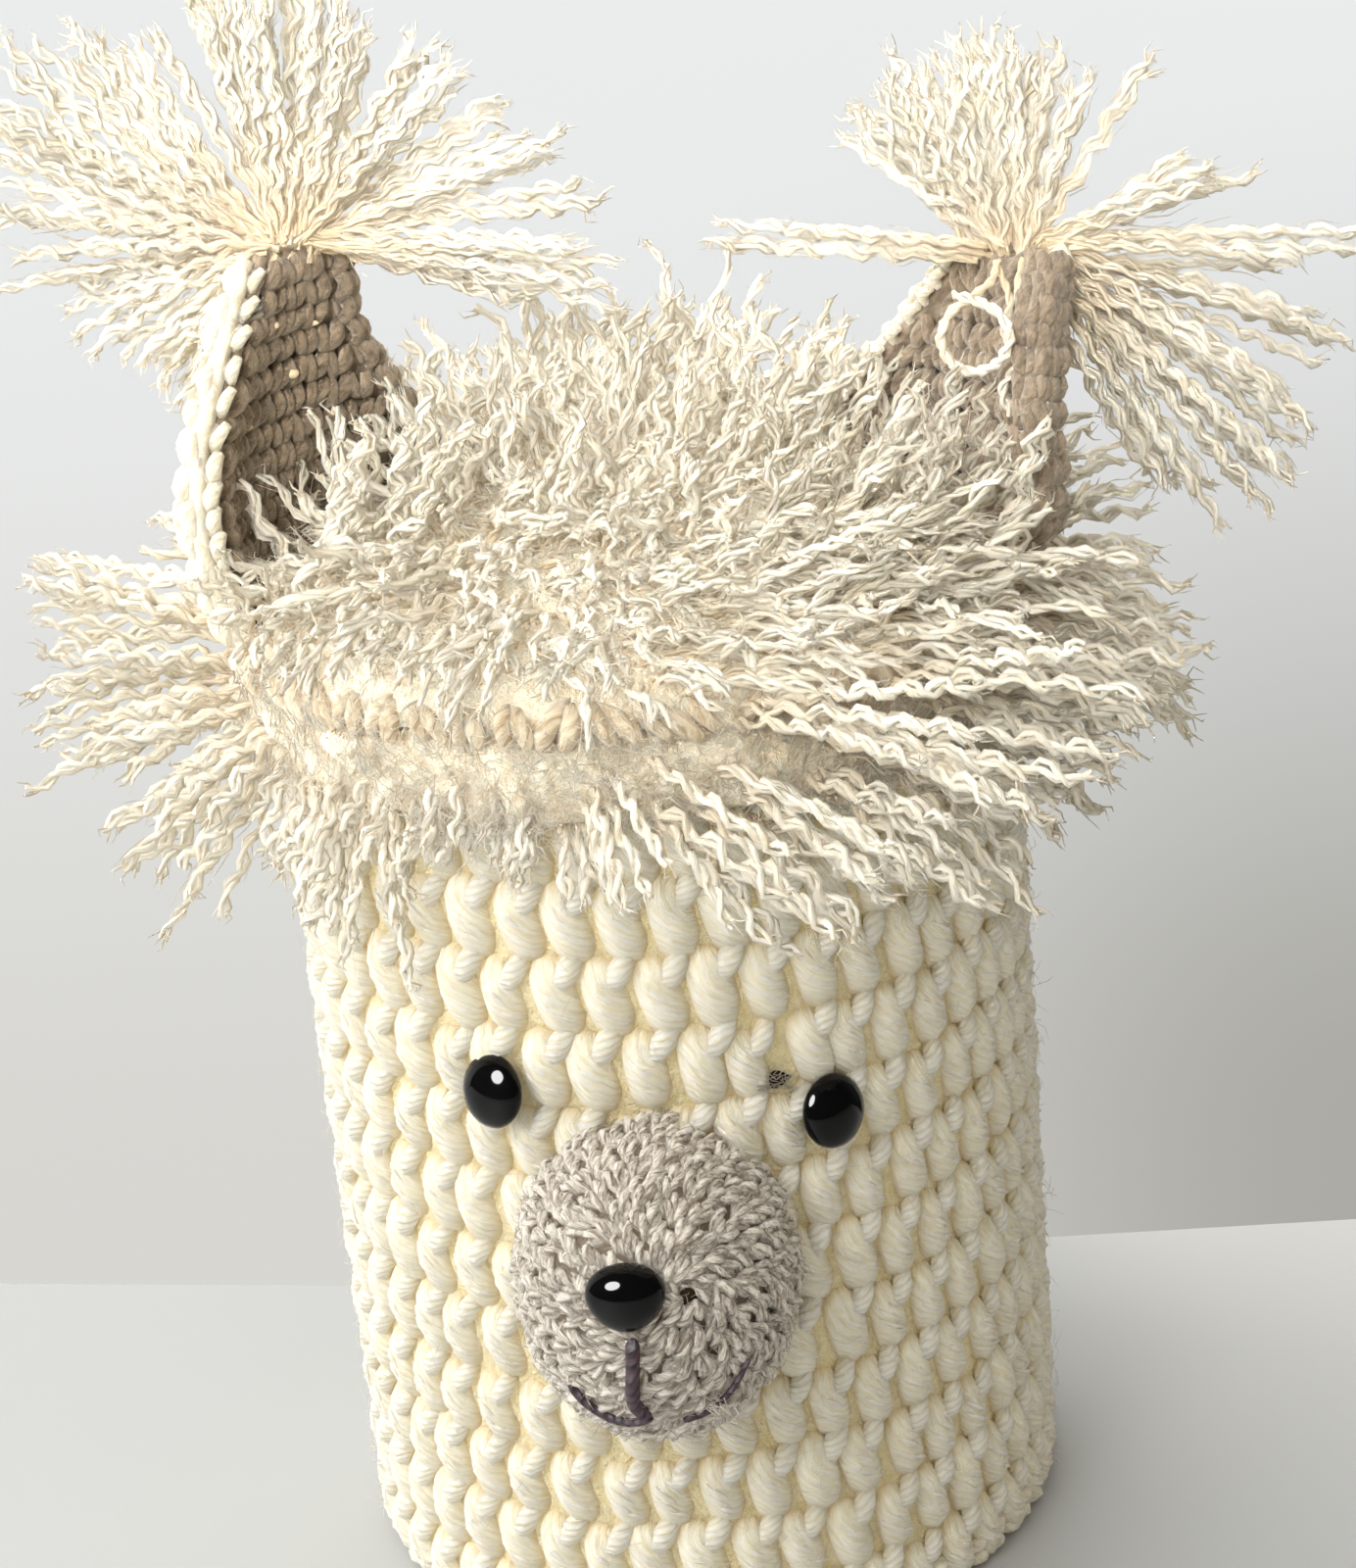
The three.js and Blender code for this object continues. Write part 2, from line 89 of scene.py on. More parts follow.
def around(azimuth):
    """The outward and the sideways direction at an azimuth, 0 over the face."""
    return vec(sin(azimuth), -cos(azimuth), 0), vec(cos(azimuth), sin(azimuth), 0)


def lengths(line):
    return np.linalg.norm(np.diff(line[:, :3], axis=0), axis=1)


def turned(*turns):
    """The matrix of some turns, each in degrees about an axis."""
    matrix = Matrix()
    for degrees, axis in turns:
        matrix = matrix @ Matrix.Rotation(radians(degrees), 4, axis)
    return matrix


def added(name, data):
    thing = bpy.data.objects.new(name, data)
    scene.collection.objects.link(thing)
    return thing


# ---- Sizes, in millimetres ----

low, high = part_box("body")
RADIUS = (high[0] - low[0]) / 2 / MM
HEIGHT = high[2] / MM
ROWS = 13
ROW = HEIGHT / ROWS
STITCHES = 46
INSIDE = 56.4
CAP_TOP = HEIGHT + 4.5
CAP_EDGE = 65
CROWN = 13

# ---- Camera ----


def put_camera():
    data = bpy.data.cameras.new("camera")
    data.sensor_fit = "HORIZONTAL"
    data.sensor_width = 36
    data.lens = 79.8
    data.clip_start = 0.01
    scene.camera = added("camera", data)
    heading, down, roll = (4.5, "Z"), (90 - 20.4, "X"), (-5.3, "Z")
    place = Matrix.Translation(Vector((41.5, -477.7, 311)) * MM)
    scene.camera.matrix_world = place @ turned(heading, down, roll)


# ---- Materials ----


def feed(made, values):
    """Gives a node's inputs numbers, colours or other nodes' outputs."""
    for key, value in values.items():
        if isinstance(value, bpy.types.NodeSocket):
            made.id_data.links.new(value, made.inputs[key])
        else:
            made.inputs[key].default_value = value
    return made


def node(tree, kind, values=None, **settings):
    made = tree.nodes.new("ShaderNode" + kind)
    for key, value in settings.items():
        setattr(made, key, value)
    return feed(made, values or {})


def sums(tree, operation, *values):
    return node(tree, "Math", dict(enumerate(values)), operation=operation).outputs[0]


def mix(tree, share, first, second):
    return node(tree, "Mix", {0: share, 6: first, 7: second}, data_type="RGBA").outputs[2]


def ranged(tree, value, low, high, first=0, last=1, kind="LINEAR"):
    """A value that runs from low to high, made to run from first to last."""
    return node(tree, "MapRange", {0: value, 1: low, 2: high, 3: first, 4: last},
        interpolation_type=kind).outputs[0]


def linear(colour):
    """A colour of 0 to 255 values as the renderer wants it."""
    parts = [c / 255 for c in colour]
    return (*[p / 12.92 if p <= 0.04045 else ((p + 0.055) / 1.055) ** 2.4 for p in parts], 1)


def new_material(name):
    material = bpy.data.materials.new(name)
    material.use_nodes = True
    return material, material.node_tree, material.node_tree.nodes["Principled BSDF"]


YARN_INPUTS = ("Plies", "Twist", "Wrap", "Groove", "Fibre", "Clouds", "Breaks")


def fibre_group():
    """The plies and fine fibres of a yarn: a height for the bump and a light and dark mask,
    whose fibre tone varies at random and which holds painted shade in the grooves between the plies and
    painted highlight on their crests.

    Twist is how often the plies turn along the whole yarn, Wrap is how much more they turn
    towards its start, and Breaks is how quickly the fibres come and go.
    """
    tree = bpy.data.node_groups.new("fibres", "ShaderNodeTree")
    for way, labels in (("INPUT", YARN_INPUTS), ("OUTPUT", ("Height", "Mask"))):
        for label in labels:
            tree.interface.new_socket(name=label, in_out=way, socket_type="NodeSocketFloat")
    given = tree.nodes.new("NodeGroupInput").outputs
    add, do = partial(node, tree), partial(sums, tree)
    place = add("TexCoord").outputs
    along, girth, _ = add("SeparateXYZ", {0: place["UV"]}).outputs
    rest = do("SUBTRACT", 1, along)
    turned = do("MULTIPLY_ADD", along, given["Twist"], girth)
    turned = do("MULTIPLY_ADD", do("MULTIPLY", rest, rest), given["Wrap"], turned)
    wander = add("TexNoise", {"Vector": place["Object"], "Scale": 170, "Detail": 1})
    phase = do("MULTIPLY_ADD", wander.outputs[0], 1.8, do("MULTIPLY", turned, given["Plies"]))
    ridge = do("ABSOLUTE", do("COSINE", do("MULTIPLY", phase, pi)))
    drawn = add("CombineXYZ", {0: do("MULTIPLY", along, 4), 1: do("MULTIPLY", phase, 3.5)})
    wide = add("VectorMath", {0: place["Object"], "Scale": given["Breaks"]}, operation="SCALE")
    both = add("VectorMath", {0: drawn.outputs[0], 1: wide.outputs[0]}, operation="ADD")
    fine = add("TexNoise", {"Vector": both.outputs[0], "Scale": 1, "Detail": 3,
        "Roughness": 0.7}).outputs[0]
    cloud = add("TexNoise", {"Vector": place["Object"], "Scale": given["Clouds"],
        "Detail": 2}).outputs[0]
    height = do("ADD", do("MULTIPLY", fine, given["Fibre"]), do("MULTIPLY", ridge, given["Groove"]))
    shade = do("ADD", do("MULTIPLY", fine, 0.7), do("MULTIPLY", cloud, 0.3))
    # Painted shade and highlight: the mask is darker in the grooves between the plies and lighter on
    # their crests.
    shade = do("MULTIPLY_ADD", do("SUBTRACT", ridge, 0.64), do("MULTIPLY", given["Groove"], 0.25), shade)
    feed(tree.nodes.new("NodeGroupOutput"), {"Height": height, "Mask": shade})
    return tree


def yarn_material(name, light, dark, deep=None, plies=3, twist=1, wrap=0, groove=0.5, fibre=1.6,
        clouds=300, breaks=420, depth=None, tip=None, bump=0.5, sheen=0.4, rough=0.9, soft=0):
    """Yarn: light and dark fibres over a deeper colour, which is painted shade.

    depth gives the radii in mm from the axis between which the deep colour fades out, painted shade
    where the yarn sinks towards the ground, and tip gives instead how far along a strand it does,
    painted shade at a strand's root.
    """
    material, tree, shader = new_material(name)
    add, do = partial(node, tree), partial(sums, tree)
    hairs = add("Group", node_tree=fibre_nodes)
    feed(hairs, dict(zip(YARN_INPUTS, (plies, twist, wrap, groove, fibre, clouds, breaks))))
    ramp = add("ValToRGB", {0: hairs.outputs["Mask"]})
    for stop, position, shade in zip(ramp.color_ramp.elements, (0.38, 0.58), (dark, light)):
        stop.position, stop.color = position, linear(shade)
    colour = ramp.outputs[0]
    # Painted shade: the deep colour is mixed in where the yarn lies nearer the axis, down in the
    # recesses.
    if depth:
        x, y, _ = add("SeparateXYZ", {0: add("TexCoord").outputs["Object"]}).outputs
        away = do("SQRT", do("ADD", do("MULTIPLY", x, x), do("MULTIPLY", y, y)))
        share = ranged(tree, away, depth[0] * MM, depth[1] * MM)
        colour = mix(tree, share, linear(deep), colour)
    # Painted shade: the deep colour is mixed in towards a strand's root, deep in the pile.
    if tip:
        along = add("SeparateXYZ", {0: add("TexCoord").outputs["UV"]}).outputs[0]
        colour = mix(tree, ranged(tree, along, *tip), linear(deep), colour)
    lift = add("Bump", {"Height": hairs.outputs["Height"], "Strength": bump, "Distance": 0.0008})
    feed(shader, {"Base Color": colour, "Normal": lift.outputs[0], "Roughness": rough,
        "Sheen Weight": sheen, "Sheen Roughness": 0.5, "Sheen Tint": (1, 0.95, 0.85, 1),
        "Specular IOR Level": 0.3})
    if soft:
        feed(shader, {"Subsurface Weight": soft, "Subsurface Scale": 0.004,
            "Subsurface Radius": (1, 0.9, 0.75)})
    return material


def gloss_material():
    material, tree, shader = new_material("black_gloss")
    place = node(tree, "TexCoord").outputs["Object"]
    cloud = node(tree, "TexNoise", {"Vector": place, "Scale": 250, "Detail": 3}).outputs[0]
    black = mix(tree, cloud, (0.001, 0.001, 0.0012, 1), (0.003, 0.003, 0.0035, 1))
    feed(shader, {"Base Color": black, "Specular IOR Level": 0.16,
        "Roughness": ranged(tree, cloud, 0, 1, 0.03, 0.10)})
    return material


def plain_material(name, colour, rough, shine=0.5):
    material, _, shader = new_material(name)
    feed(shader, {"Base Color": linear(colour), "Roughness": rough, "Specular IOR Level": shine})
    return material


fibre_nodes = fibre_group()
# Painted shade: the posts' deep yellow-tan where they sink towards the ground.
cream_post = yarn_material("cream_posts", (254, 248, 228), (240, 228, 194), (240, 214, 156), plies=12,
    twist=0.25, wrap=0.9, depth=(59, 61), bump=0.8, soft=0.3)
# Painted highlight: the plies are a lighter copy of the posts' cream yarn, so that they read as lit
# crests.
cream_ply = yarn_material("cream_plies", (255, 253, 246), (250, 242, 222), groove=0, bump=0.6)
# Painted shade: the loops' deep yellow-tan where they sink towards the ground.
cream = yarn_material("cream_yarn", (255, 251, 238), (242, 230, 198), (240, 214, 156), plies=7, twist=0.9,
    groove=1, depth=(59.2, 61.2), bump=0.85, soft=0.5)
# Painted shade: the ground between the stitches is the same cream yarn, coloured yellow-tan for the shade
# and warm scattered light in the gaps, deeper still towards the axis.
wall = yarn_material("cream_wall", (252, 236, 190), (242, 220, 160), (224, 200, 146), groove=0,
    fibre=2.6, breaks=700, depth=(56, 58), bump=1, sheen=0.2, soft=0.3)
fleece = yarn_material("fleece", (252, 243, 220), (232, 213, 178), groove=0, fibre=2.4, clouds=240,
    breaks=520, bump=1, sheen=0.5, soft=0.3)
edge_yarn = yarn_material("edge_yarn", (241, 233, 213), (210, 196, 166), plies=4, twist=0.8, fibre=1.4,
    clouds=260, soft=0.5)
# Painted shade: the strands' deep colour at their roots, deep in the pile.
hair = yarn_material("hair_yarn", (255, 251, 238), (248, 236, 208), (242, 218, 178), plies=2, twist=1.5,
    groove=0.15, clouds=200, breaks=170, tip=(0, 0.55), bump=0.7, sheen=0.5)
taupe = yarn_material("taupe_yarn", (250, 242, 228), (130, 112, 94), twist=0.6, clouds=420, bump=0.9,
    sheen=0.3, soft=0.2)
# Painted shade: the ears' taupe lining is much darker than the same taupe yarn on the snout, for the
# shade inside the ear cups.
lining = yarn_material("lining_yarn", (146, 128, 105), (104, 87, 68), twist=0.6, groove=0.4, fibre=1.4,
    bump=0.6, sheen=0.5, soft=0.4)
# Painted shade: the pad under the taupe stitches, seen only in the gaps between them, is coloured dark
# for the shade there.
taupe_pad = yarn_material("taupe_pad", (160, 143, 122), (116, 100, 83), groove=0, fibre=0.8, sheen=0.2,
    soft=0.3)
# Painted shade: the seam's cream yarn is coloured a darker beige for the shade under the pile's edge.
seam_shade_yarn = yarn_material("beige_yarn", (230, 214, 186), (178, 153, 118), plies=4, twist=0.7, fibre=1.4,
    clouds=200, sheen=0.5, soft=0.5)
plum = yarn_material("plum_thread", (66, 42, 56), (24, 11, 20), plies=2, twist=4, groove=1, fibre=0.8,
    clouds=600, sheen=0.1, rough=0.6)
# Painted shade: a dark material that stands for the shadow inside holes between stitches.
dark_gap = plain_material("dark_gap", (40, 32, 20), 1, 0)
gloss = gloss_material()

# ---- Yarn ----


def smooth(points, count):
    """count points along a smooth line through a few given rows of numbers."""
    rows = np.asarray(points, float)
    last = len(rows) - 1
    padded = np.vstack([2 * rows[0] - rows[1], rows, 2 * rows[-1] - rows[-2]])
    at = np.linspace(0, last, count)
    low = np.minimum(at.astype(int), last - 1)
    part = (at - low)[:, None]
    a, b, c, d = (padded[low + shift] for shift in range(4))
    return 0.5 * (2 * b + (c - a) * part + (2 * a - 5 * b + 4 * c - d) * part**2 + (3 * b - a - 3 * c + d)
        * part**3)


def cross_section(sides):
    data = bpy.data.curves.new("cross_section", "CURVE")
    data.dimensions = "2D"
    spline = data.splines.new("POLY")
    spline.points.add(sides - 1)
    for index, point in enumerate(spline.points):
        angle = 2 * pi * index / sides
        point.co = (cos(angle), sin(angle), 0, 1)
    spline.use_cyclic_u = spline.use_smooth = True
    return added("cross_section", data)


def yarn(name, lines, material, sides=6):
    """A piece made of many lengths of yarn, each an array of rows: x, y, z, radius in mm."""
    data = bpy.data.curves.new(name, "CURVE")
    data.dimensions = "3D"
    data.use_fill_caps = True
    data.bevel_mode = "OBJECT"
    data.bevel_object = ring = cross_section(sides)
    for line in lines:
        spline = data.splines.new("POLY")
        spline.points.add(len(line) - 1)
        where = np.ones((len(line), 4))
        where[:, :3] = line[:, :3] * MM
        spline.points.foreach_set("co", where.ravel())
        spline.points.foreach_set("radius", line[:, 3] * MM)
        spline.use_smooth = True
    source = added(name + "_route", data)
    graph = bpy.context.evaluated_depsgraph_get()
    mesh = bpy.data.meshes.new_from_object(source.evaluated_get(graph))
    mesh.name = name
    mesh.materials.clear()
    mesh.materials.append(material)
    bpy.data.objects.remove(source)
    bpy.data.objects.remove(ring)
    return added(name, mesh)


def on_tube(rows, azimuth, height, base):
    """Rows of (sideways, up, out, radius) laid on the tube at a place."""
    radius = base + rows[:, 2]
    angle = azimuth + rows[:, 0] / RADIUS
    return np.column_stack([radius * np.sin(angle), -radius * np.cos(angle), height + rows[:, 1],
        rows[:, 3]])


# A small stitch's two legs. Columns: sideways, up, out, radius.
SMALL_STITCH = [
    [(0.2, -2.4, -0.9, 0.9), (-0.6, -1, 0.5, 1.25), (-1.2, 0.7, 0.8, 1.3), (-1.5, 2.2, -0.3, 0.95)],
    [(0, -2.3, -0.9, 0.9), (0.9, -0.8, 0.5, 1.25), (1.3, 0.9, 0.8, 1.3), (1.2, 2.4, -0.3, 0.95)],
]


def small_stitches(places, size=1, skew=0.15, unruly=0.12):
    """Fine crochet stitches on a list of (origin, across, upward, outward)."""
    legs = [smooth(rows, 6) for rows in SMALL_STITCH]
    lines = []
    for (origin, *ways), own in zip(places, np.broadcast_to(size, len(places))):
        grown = own * (1 + stray(0.06))
        lean = skew + stray(unruly)
        for rows in legs:
            shaped = rows * grown
            shaped[:, 0] += lean * shaped[:, 1] + stray(0.12)
            shaped[:, 1] += stray(0.15)
            lines.append(np.column_stack([origin + shaped[:, :3] @ np.array(ways), shaped[:, 3]]))
    return lines


def fibre(start, step, bend, thick):
    """A short fine fibre, bent in its middle."""
    return np.column_stack([[start, start + step / 2 + bend, start + step], thick])


STUBBLE = (0.06, 0.06, 0.03)  # thickness of the short fibres that stand off stitches

# ---- Shapes ----


def finished(name, shape, material, rounded=True):
    if rounded:
        bmesh.ops.recalc_face_normals(shape, faces=shape.faces)
    mesh = bpy.data.meshes.new(name)
    shape.to_mesh(mesh)
    shape.free()
    for face in mesh.polygons:
        face.use_smooth = rounded
    mesh.materials.append(material)
    return added(name, mesh)


def spun(profile, steps, closed=False):
    """A shape spun round the upright axis from its profile of (radius, height)."""
    shape = bmesh.new()
    corners = [shape.verts.new((0, -r * MM, z * MM)) for r, z in profile]
    for first, second in zip(corners, corners[1:] + corners[:closed]):
        shape.edges.new((first, second))
    bmesh.ops.spin(shape, geom=list(shape.verts) + list(shape.edges), cent=(0, 0, 0), axis=(0, 0, 1),
        angle=2 * pi, steps=steps, use_merge=True)
    bmesh.ops.remove_doubles(shape, verts=shape.verts, dist=1e-6)
    return shape


def ball(name, segments, place, material):
    """A ball whose corners are moved by place, from the unit ball to millimetres."""
    shape = bmesh.new()
    bmesh.ops.create_uvsphere(shape, u_segments=segments[0], v_segments=segments[1], radius=1)
    for corner in shape.verts:
        corner.co = Vector(place(*corner.co)) * MM
    return finished(name, shape, material)


def flat(name, corners, material):
    shape = bmesh.new()
    shape.faces.new([shape.verts.new(corner) for corner in corners])
    return finished(name, shape, material, False)


def settle(piece, slot, *replaced):
    """Rides a finished piece on the cover and hides the parts of the model that it replaces."""
    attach(piece, "root")
    if replaced:
        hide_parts(*replaced)
    return piece


# ---- Body ----

# Columns: sideways, up, out, radius.
POST = [(1.2, 0.9, -2.4, 2.7), (0.9, 2.4, -0.6, 3.4), (0.5, 4.2, -0.2, 3.65), (0, 6.3, -0.1, 3.7),
        (-0.5, 8.5, -0.2, 3.6), (-0.8, 10.4, -0.7, 3.3), (-0.7, 11.9, -2.3, 2.6)]
LOBE = [(0.9, 8.2, 1, 1.2), (2, 9.8, 1.9, 1.75), (3.2, 11.8, 1.6, 1.9), (4.5, 13.9, -0.5, 1.5)]
BANDS = [(0, 4), (4, 9), (9, 13)]  # the rows that make up each piece
GAP_ASIDE = {(8, 2): -0.017, (8, 3): 0.017}  # the stitches beside the gap, pushed apart
GAP_AZIMUTH = radians(19.3)


def post_plies(post):
    """The plies that show across a post: steep at its top, level at its foot."""
    made = []
    steps = np.linspace(-0.5, 0.5, 4)
    run = np.linspace(0, 1, len(post))
    for index in range(6):
        down = 0.09 + 0.155 * index + stray(0.012)
        turn = (-0.35, 0.45, -0.1)[index % 3] + stray(0.12)
        slant = radians(34 + 42 * down)
        reach = between(3, 4.6)
        at = 1 - np.clip(down + steps * reach * cos(slant) / 11, 0.01, 0.99)
        angle = turn + steps * reach * sin(slant) / 3.2
        side, up, out, radius = (np.interp(at, run, post[:, k]) for k in range(4))
        off = radius - 0.2
        made.append(np.column_stack([side + off * np.sin(angle), up, out + off * np.cos(angle),
            between(0.48, 0.62) * vec(0.5, 1, 1, 0.45)]))
    return made


def body_stitches():
    post, lobe = smooth(POST, 9), smooth(LOBE, 6)
    beat = 2 * pi / STITCHES
    pieces = []
    for band, (first, last) in enumerate(BANDS):
        posts, loops, plies = [], [], []
        for row in range(first, last):
            for index in range(STITCHES):
                azimuth = (index - 0.05 + 0.4 * (row - 8)) * beat + stray(0.006)
                azimuth += GAP_ASIDE.get((row, index), 0)
                height = row * ROW + stray(0.25)
                size = 1 + stray(0.035)
                lean = stray(0.05)

                def laid(rows):
                    shaped = rows * (size, size, 1, size)
                    shaped[:, 0] += lean * (shaped[:, 1] - ROW / 2)
                    line = on_tube(shaped, azimuth, height, RADIUS - 3.1)
                    line[:, 2] = np.maximum(line[:, 2], 0.9 * line[:, 3])
                    return line

                posts.append(laid(post))
                plies += [laid(rows) for rows in post_plies(post)]
                if row < ROWS - 1:
                    loops.append(laid(lobe))
        pieces += [yarn(f"body_posts_{band}", posts, cream_post, sides=8),
            yarn(f"body_loops_{band}", loops, cream), yarn(f"body_plies_{band}", plies, cream_ply,
            sides=3)]
    return pieces


def body_wall():
    """The tube's ground, a thin shell that closes over the top and ends in the hem."""
    profile = [(INSIDE, 0.6), (INSIDE + 0.6, 0), (RADIUS - 4.4, 0), (RADIUS - 3.6, 0.8)]
    for row in range(ROWS):
        profile += [(RADIUS - 2.8, row * ROW + 1.5), (RADIUS - 2.1, row * ROW + ROW / 2)]
    profile += [(RADIUS - 4.2, HEIGHT - 1), (54, HEIGHT - 0.4), (50, HEIGHT - 0.4), (50, HEIGHT - 2.2),
        (54, HEIGHT - 2.4), (INSIDE, HEIGHT - 6)]
    return finished("body_wall", spun(profile, 96, True), wall)


def hem_places():
    """The chain of the first round, on its side along the table."""
    ways = [around(2 * pi * index / 72) for index in range(72)]
    return [(outward * (RADIUS - 2.6) + UP * 3.5, UP, across, outward) for outward, across in ways]


def body_fibres(count):
    made = []
    for _ in range(count):
        outward, across = around(between(-pi, pi))
        start = outward * (RADIUS + 0.2) + UP * between(3, HEIGHT - 8)
        aim = unit(across * stray(1) + UP * stray(1) + outward * 0.35)
        reach = between(2.2, 5)
        made.append(fibre(start, aim * reach, outward * between(0, 0.7) + stray(0.25, 3), STUBBLE))
    return made


def gap():
    """Painted shade: a dark ball that stands for the shadow inside a gap between two stitches beside the
    right eye.
    """
    def place(side, out, up):
        rows = np.array([(side * 1.9, up * 1.35 * (1 - 0.75 * side), out * 0.35, 0)])
        return on_tube(rows, GAP_AZIMUTH, 104.3, RADIUS - 1.5)[0, :3]
    return ball("stitch_gap", (16, 10), place, dark_gap)


# ---- Loose yarn ----

RINGS = 4.5  # rings of a strand to each of its waves


def strand(root, heading, length, droop, side, thick, wave, period=6.4, phase=0):
    """A kinked strand of loose yarn, thinner towards its end."""
    count = max(6, int(length / period * RINGS) + 3)
    along = np.linspace(0, 1, count)[:, None]
    heading = unit(heading)
    centre = root + heading * length * along + np.asarray(droop, float) * length * along**2
    side = unit(side - np.dot(side, heading) * heading)
    other = np.cross(heading, side)
    angle = 2 * pi * length * along / period + phase
    swing = wave * np.minimum(1, 3 * along + 0.15)
    centre = centre + swing * (np.sin(angle) * side + 0.35 * np.cos(angle * 0.93) * other)
    body = 0.72 + 0.28 * np.clip(along / 0.35, 0, 1)
    end = 1 - 0.35 * np.clip((along - 0.85) / 0.15, 0, 1) ** 2
    return np.column_stack([centre, thick * body * end * (1 + 0.10 * np.sin(2 * angle + 0.7))])


def frayed(line, count):
    """The fine fibres of a strand's cut end."""
    tip, width = line[-1, :3], line[-2, 3]
    ahead = unit(tip - line[-3, :3])
    made = []
    for _ in range(count):
        off = unit(np.cross(ahead, stray(1, 3))) * width * sqrt(between(0.05, 1))
        aim = ahead + off / width * 0.55 * between(0.3, 1.6) + stray(0.08, 3)
        reach = between(1.4, 3.4)
        made.append(fibre(tip + off * 0.8 - ahead * 1.2, aim * reach, stray(0.6, 3), (0.20, 0.19, 0.07)))
    return made


def fuzz(line, count):
    """Fine fibres that run beside a strand, a little away from it."""
    last = len(line) - 1
    length = lengths(line).sum()
    made = []
    for _ in range(count):
        part = between(4, 9) / length
        start = between(0.05, max(0.06, 1.06 - part))
        at = np.clip(start + part * np.linspace(0, 1, 3), 0, 1) * last
        low = np.minimum(at.astype(int), last - 1)
        share = (at - low)[:, None]
        centre = line[low, :3] * (1 - share) + line[low + 1, :3] * share
        away = 1.35 * line[low, 3][:, None] * vec(0.8, 1.05, 1.7)[:, None]
        centre = centre + unit(stray(1, 3)) * away + stray(0.3, (3, 3))
        made.append(np.column_stack([centre, (0.11, 0.11, 0.044)]))
    return made


def plied(line, count=2, every=9):
    """The plies of a strand, twisted loosely about each other."""
    ways = np.gradient(line[:, :3], axis=0)
    side = np.cross(ways, (0.62, -0.75, 0.22))
    side /= np.linalg.norm(side, axis=1)[:, None] + 1e-9
    other = np.cross(ways / (np.linalg.norm(ways, axis=1)[:, None] + 1e-9), side)
    run = np.append(0, np.cumsum(lengths(line)))
    apart = (line[:, 3] * (0.42 + 0.35 * (run / run[-1]) ** 2))[:, None]
    start = between(0, 6.28)
    made = []
    for ply in range(count):
        angle = (start + 2 * pi * (ply / count + run / every))[:, None]
        aside = apart * (np.cos(angle) * side + np.sin(angle) * other)
        made.append(np.column_stack([line[:, :3] + aside, line[:, 3] * 0.62]))
    return made


def hairy_piece(name, lines, fibres, ends, shade=None):
    """Strands, the fine fibres along them and those at their cut ends, as three pieces.

    shade gives the share of strands at a root that stand in the shade, as three more pieces.
    """
    fine = [fuzz(line, fibres) for line in lines]
    cut_ends = [frayed(line, ends) for line in lines]
    plies = [plied(line) for line in lines]
    pick = np.random.default_rng(5)
    shaded = [shade is not None and pick.random() < shade(*line[0, :2]) for line in lines]
    made = []
    for label, wanted in (("", False), ("_shaded", True)):
        for kind, sets in (("", plies), ("_fuzz", fine), ("_ends", cut_ends)):
            if wanted in shaded:
                chosen = [one for these, dim in zip(sets, shaded) if dim == wanted for one in these]
                made.append(yarn(name + label + kind, chosen, hair, sides=3))
    return made


def wisp(start, aim, outward, reach):
    """A fine curled fibre that lies on the fleece."""
    side = unit(np.cross(aim, outward))
    curl = between(0.8, 2.2) * chance.choice((-1, 1))
    rows = [start, start + aim * reach * 0.33 + side * curl + outward * between(0.3, 1.2),
        start + aim * reach * 0.7 - side * curl * 0.4 + outward * between(0, 1.2),
        start + aim * reach + side * curl * 0.7]
    return np.column_stack([rows, between(0.09, 0.15) * vec(1, 1, 1, 0.5)])


def fleece_at(where, deep):
    """Where a corner of the ground moves to, so that it curls and lumps like fleece."""
    x, y, z = where
    spot = Vector((x / 4.6, y / 6, z / 7.5))
    lumps = abs(noise.noise(spot)) * 1.7 + abs(noise.noise(spot * 2.1 + Vector((9, 4, 2)))) * 0.7
    return vec(*noise.noise_vector(Vector(where) / 4)) * 1.1, deep * lumps


def gap_fibres():
    outward, across = around(GAP_AZIMUTH)
    middle = outward * (RADIUS - 0.6) + UP * 104.4
    return [wisp(middle + across * (stray(1.2) - 0.6) + UP * stray(1),
        unit(UP * stray(1) + across * stray(0.6)), outward, between(1.5, 3)) for _ in range(14)]


# ---- Cap ----


def cap_height(x, y):
    """Height of the stuffed round under the pile."""
    away = min(1, hypot(x, y) / CAP_EDGE)
    behind = 6 * ease(y, 0, 42) * (1 - ease(away, 0.7, 0.97))
    return CAP_TOP + CROWN * (1 - away**3) + 0.05 * max(0, y) * (1 - away**4) + behind


def cap_pad():
    """The stuffed round under the pile, its top all fleece."""
    profile = [(r, cap_height(r, 0)) for r in (0, *np.arange(2.2, 63, 2.25), 63.8)]
    profile += [(65.2, CAP_TOP - 0.6), (65.6, CAP_TOP - 2.2), (65, HEIGHT + 0.9), (63.8, HEIGHT + 0.35),
        (0, HEIGHT + 0.35)]
    shape = spun(profile, 168)
    for corner in shape.verts:
        x, y, z = corner.co / MM
        if z > CAP_TOP - 0.1:
            moved, lump = fleece_at((x, y, z), 3.4)
            away = hypot(x, y)
            inner = 1 - ease(away, 52, 64)
            hanging = ease(-y, 8, 40) * (1 - ease(x, -14, 22)) * (1 - ease(away, 50, 62))
            top = cap_height(x, y) + (0.4 + lump) * (0.25 + 0.75 * inner) + 0.6 * hanging
            corner.co = Vector((x + moved[0] * inner, y + moved[1] * inner, top)) * MM
    return finished("cap_pad", shape, fleece)


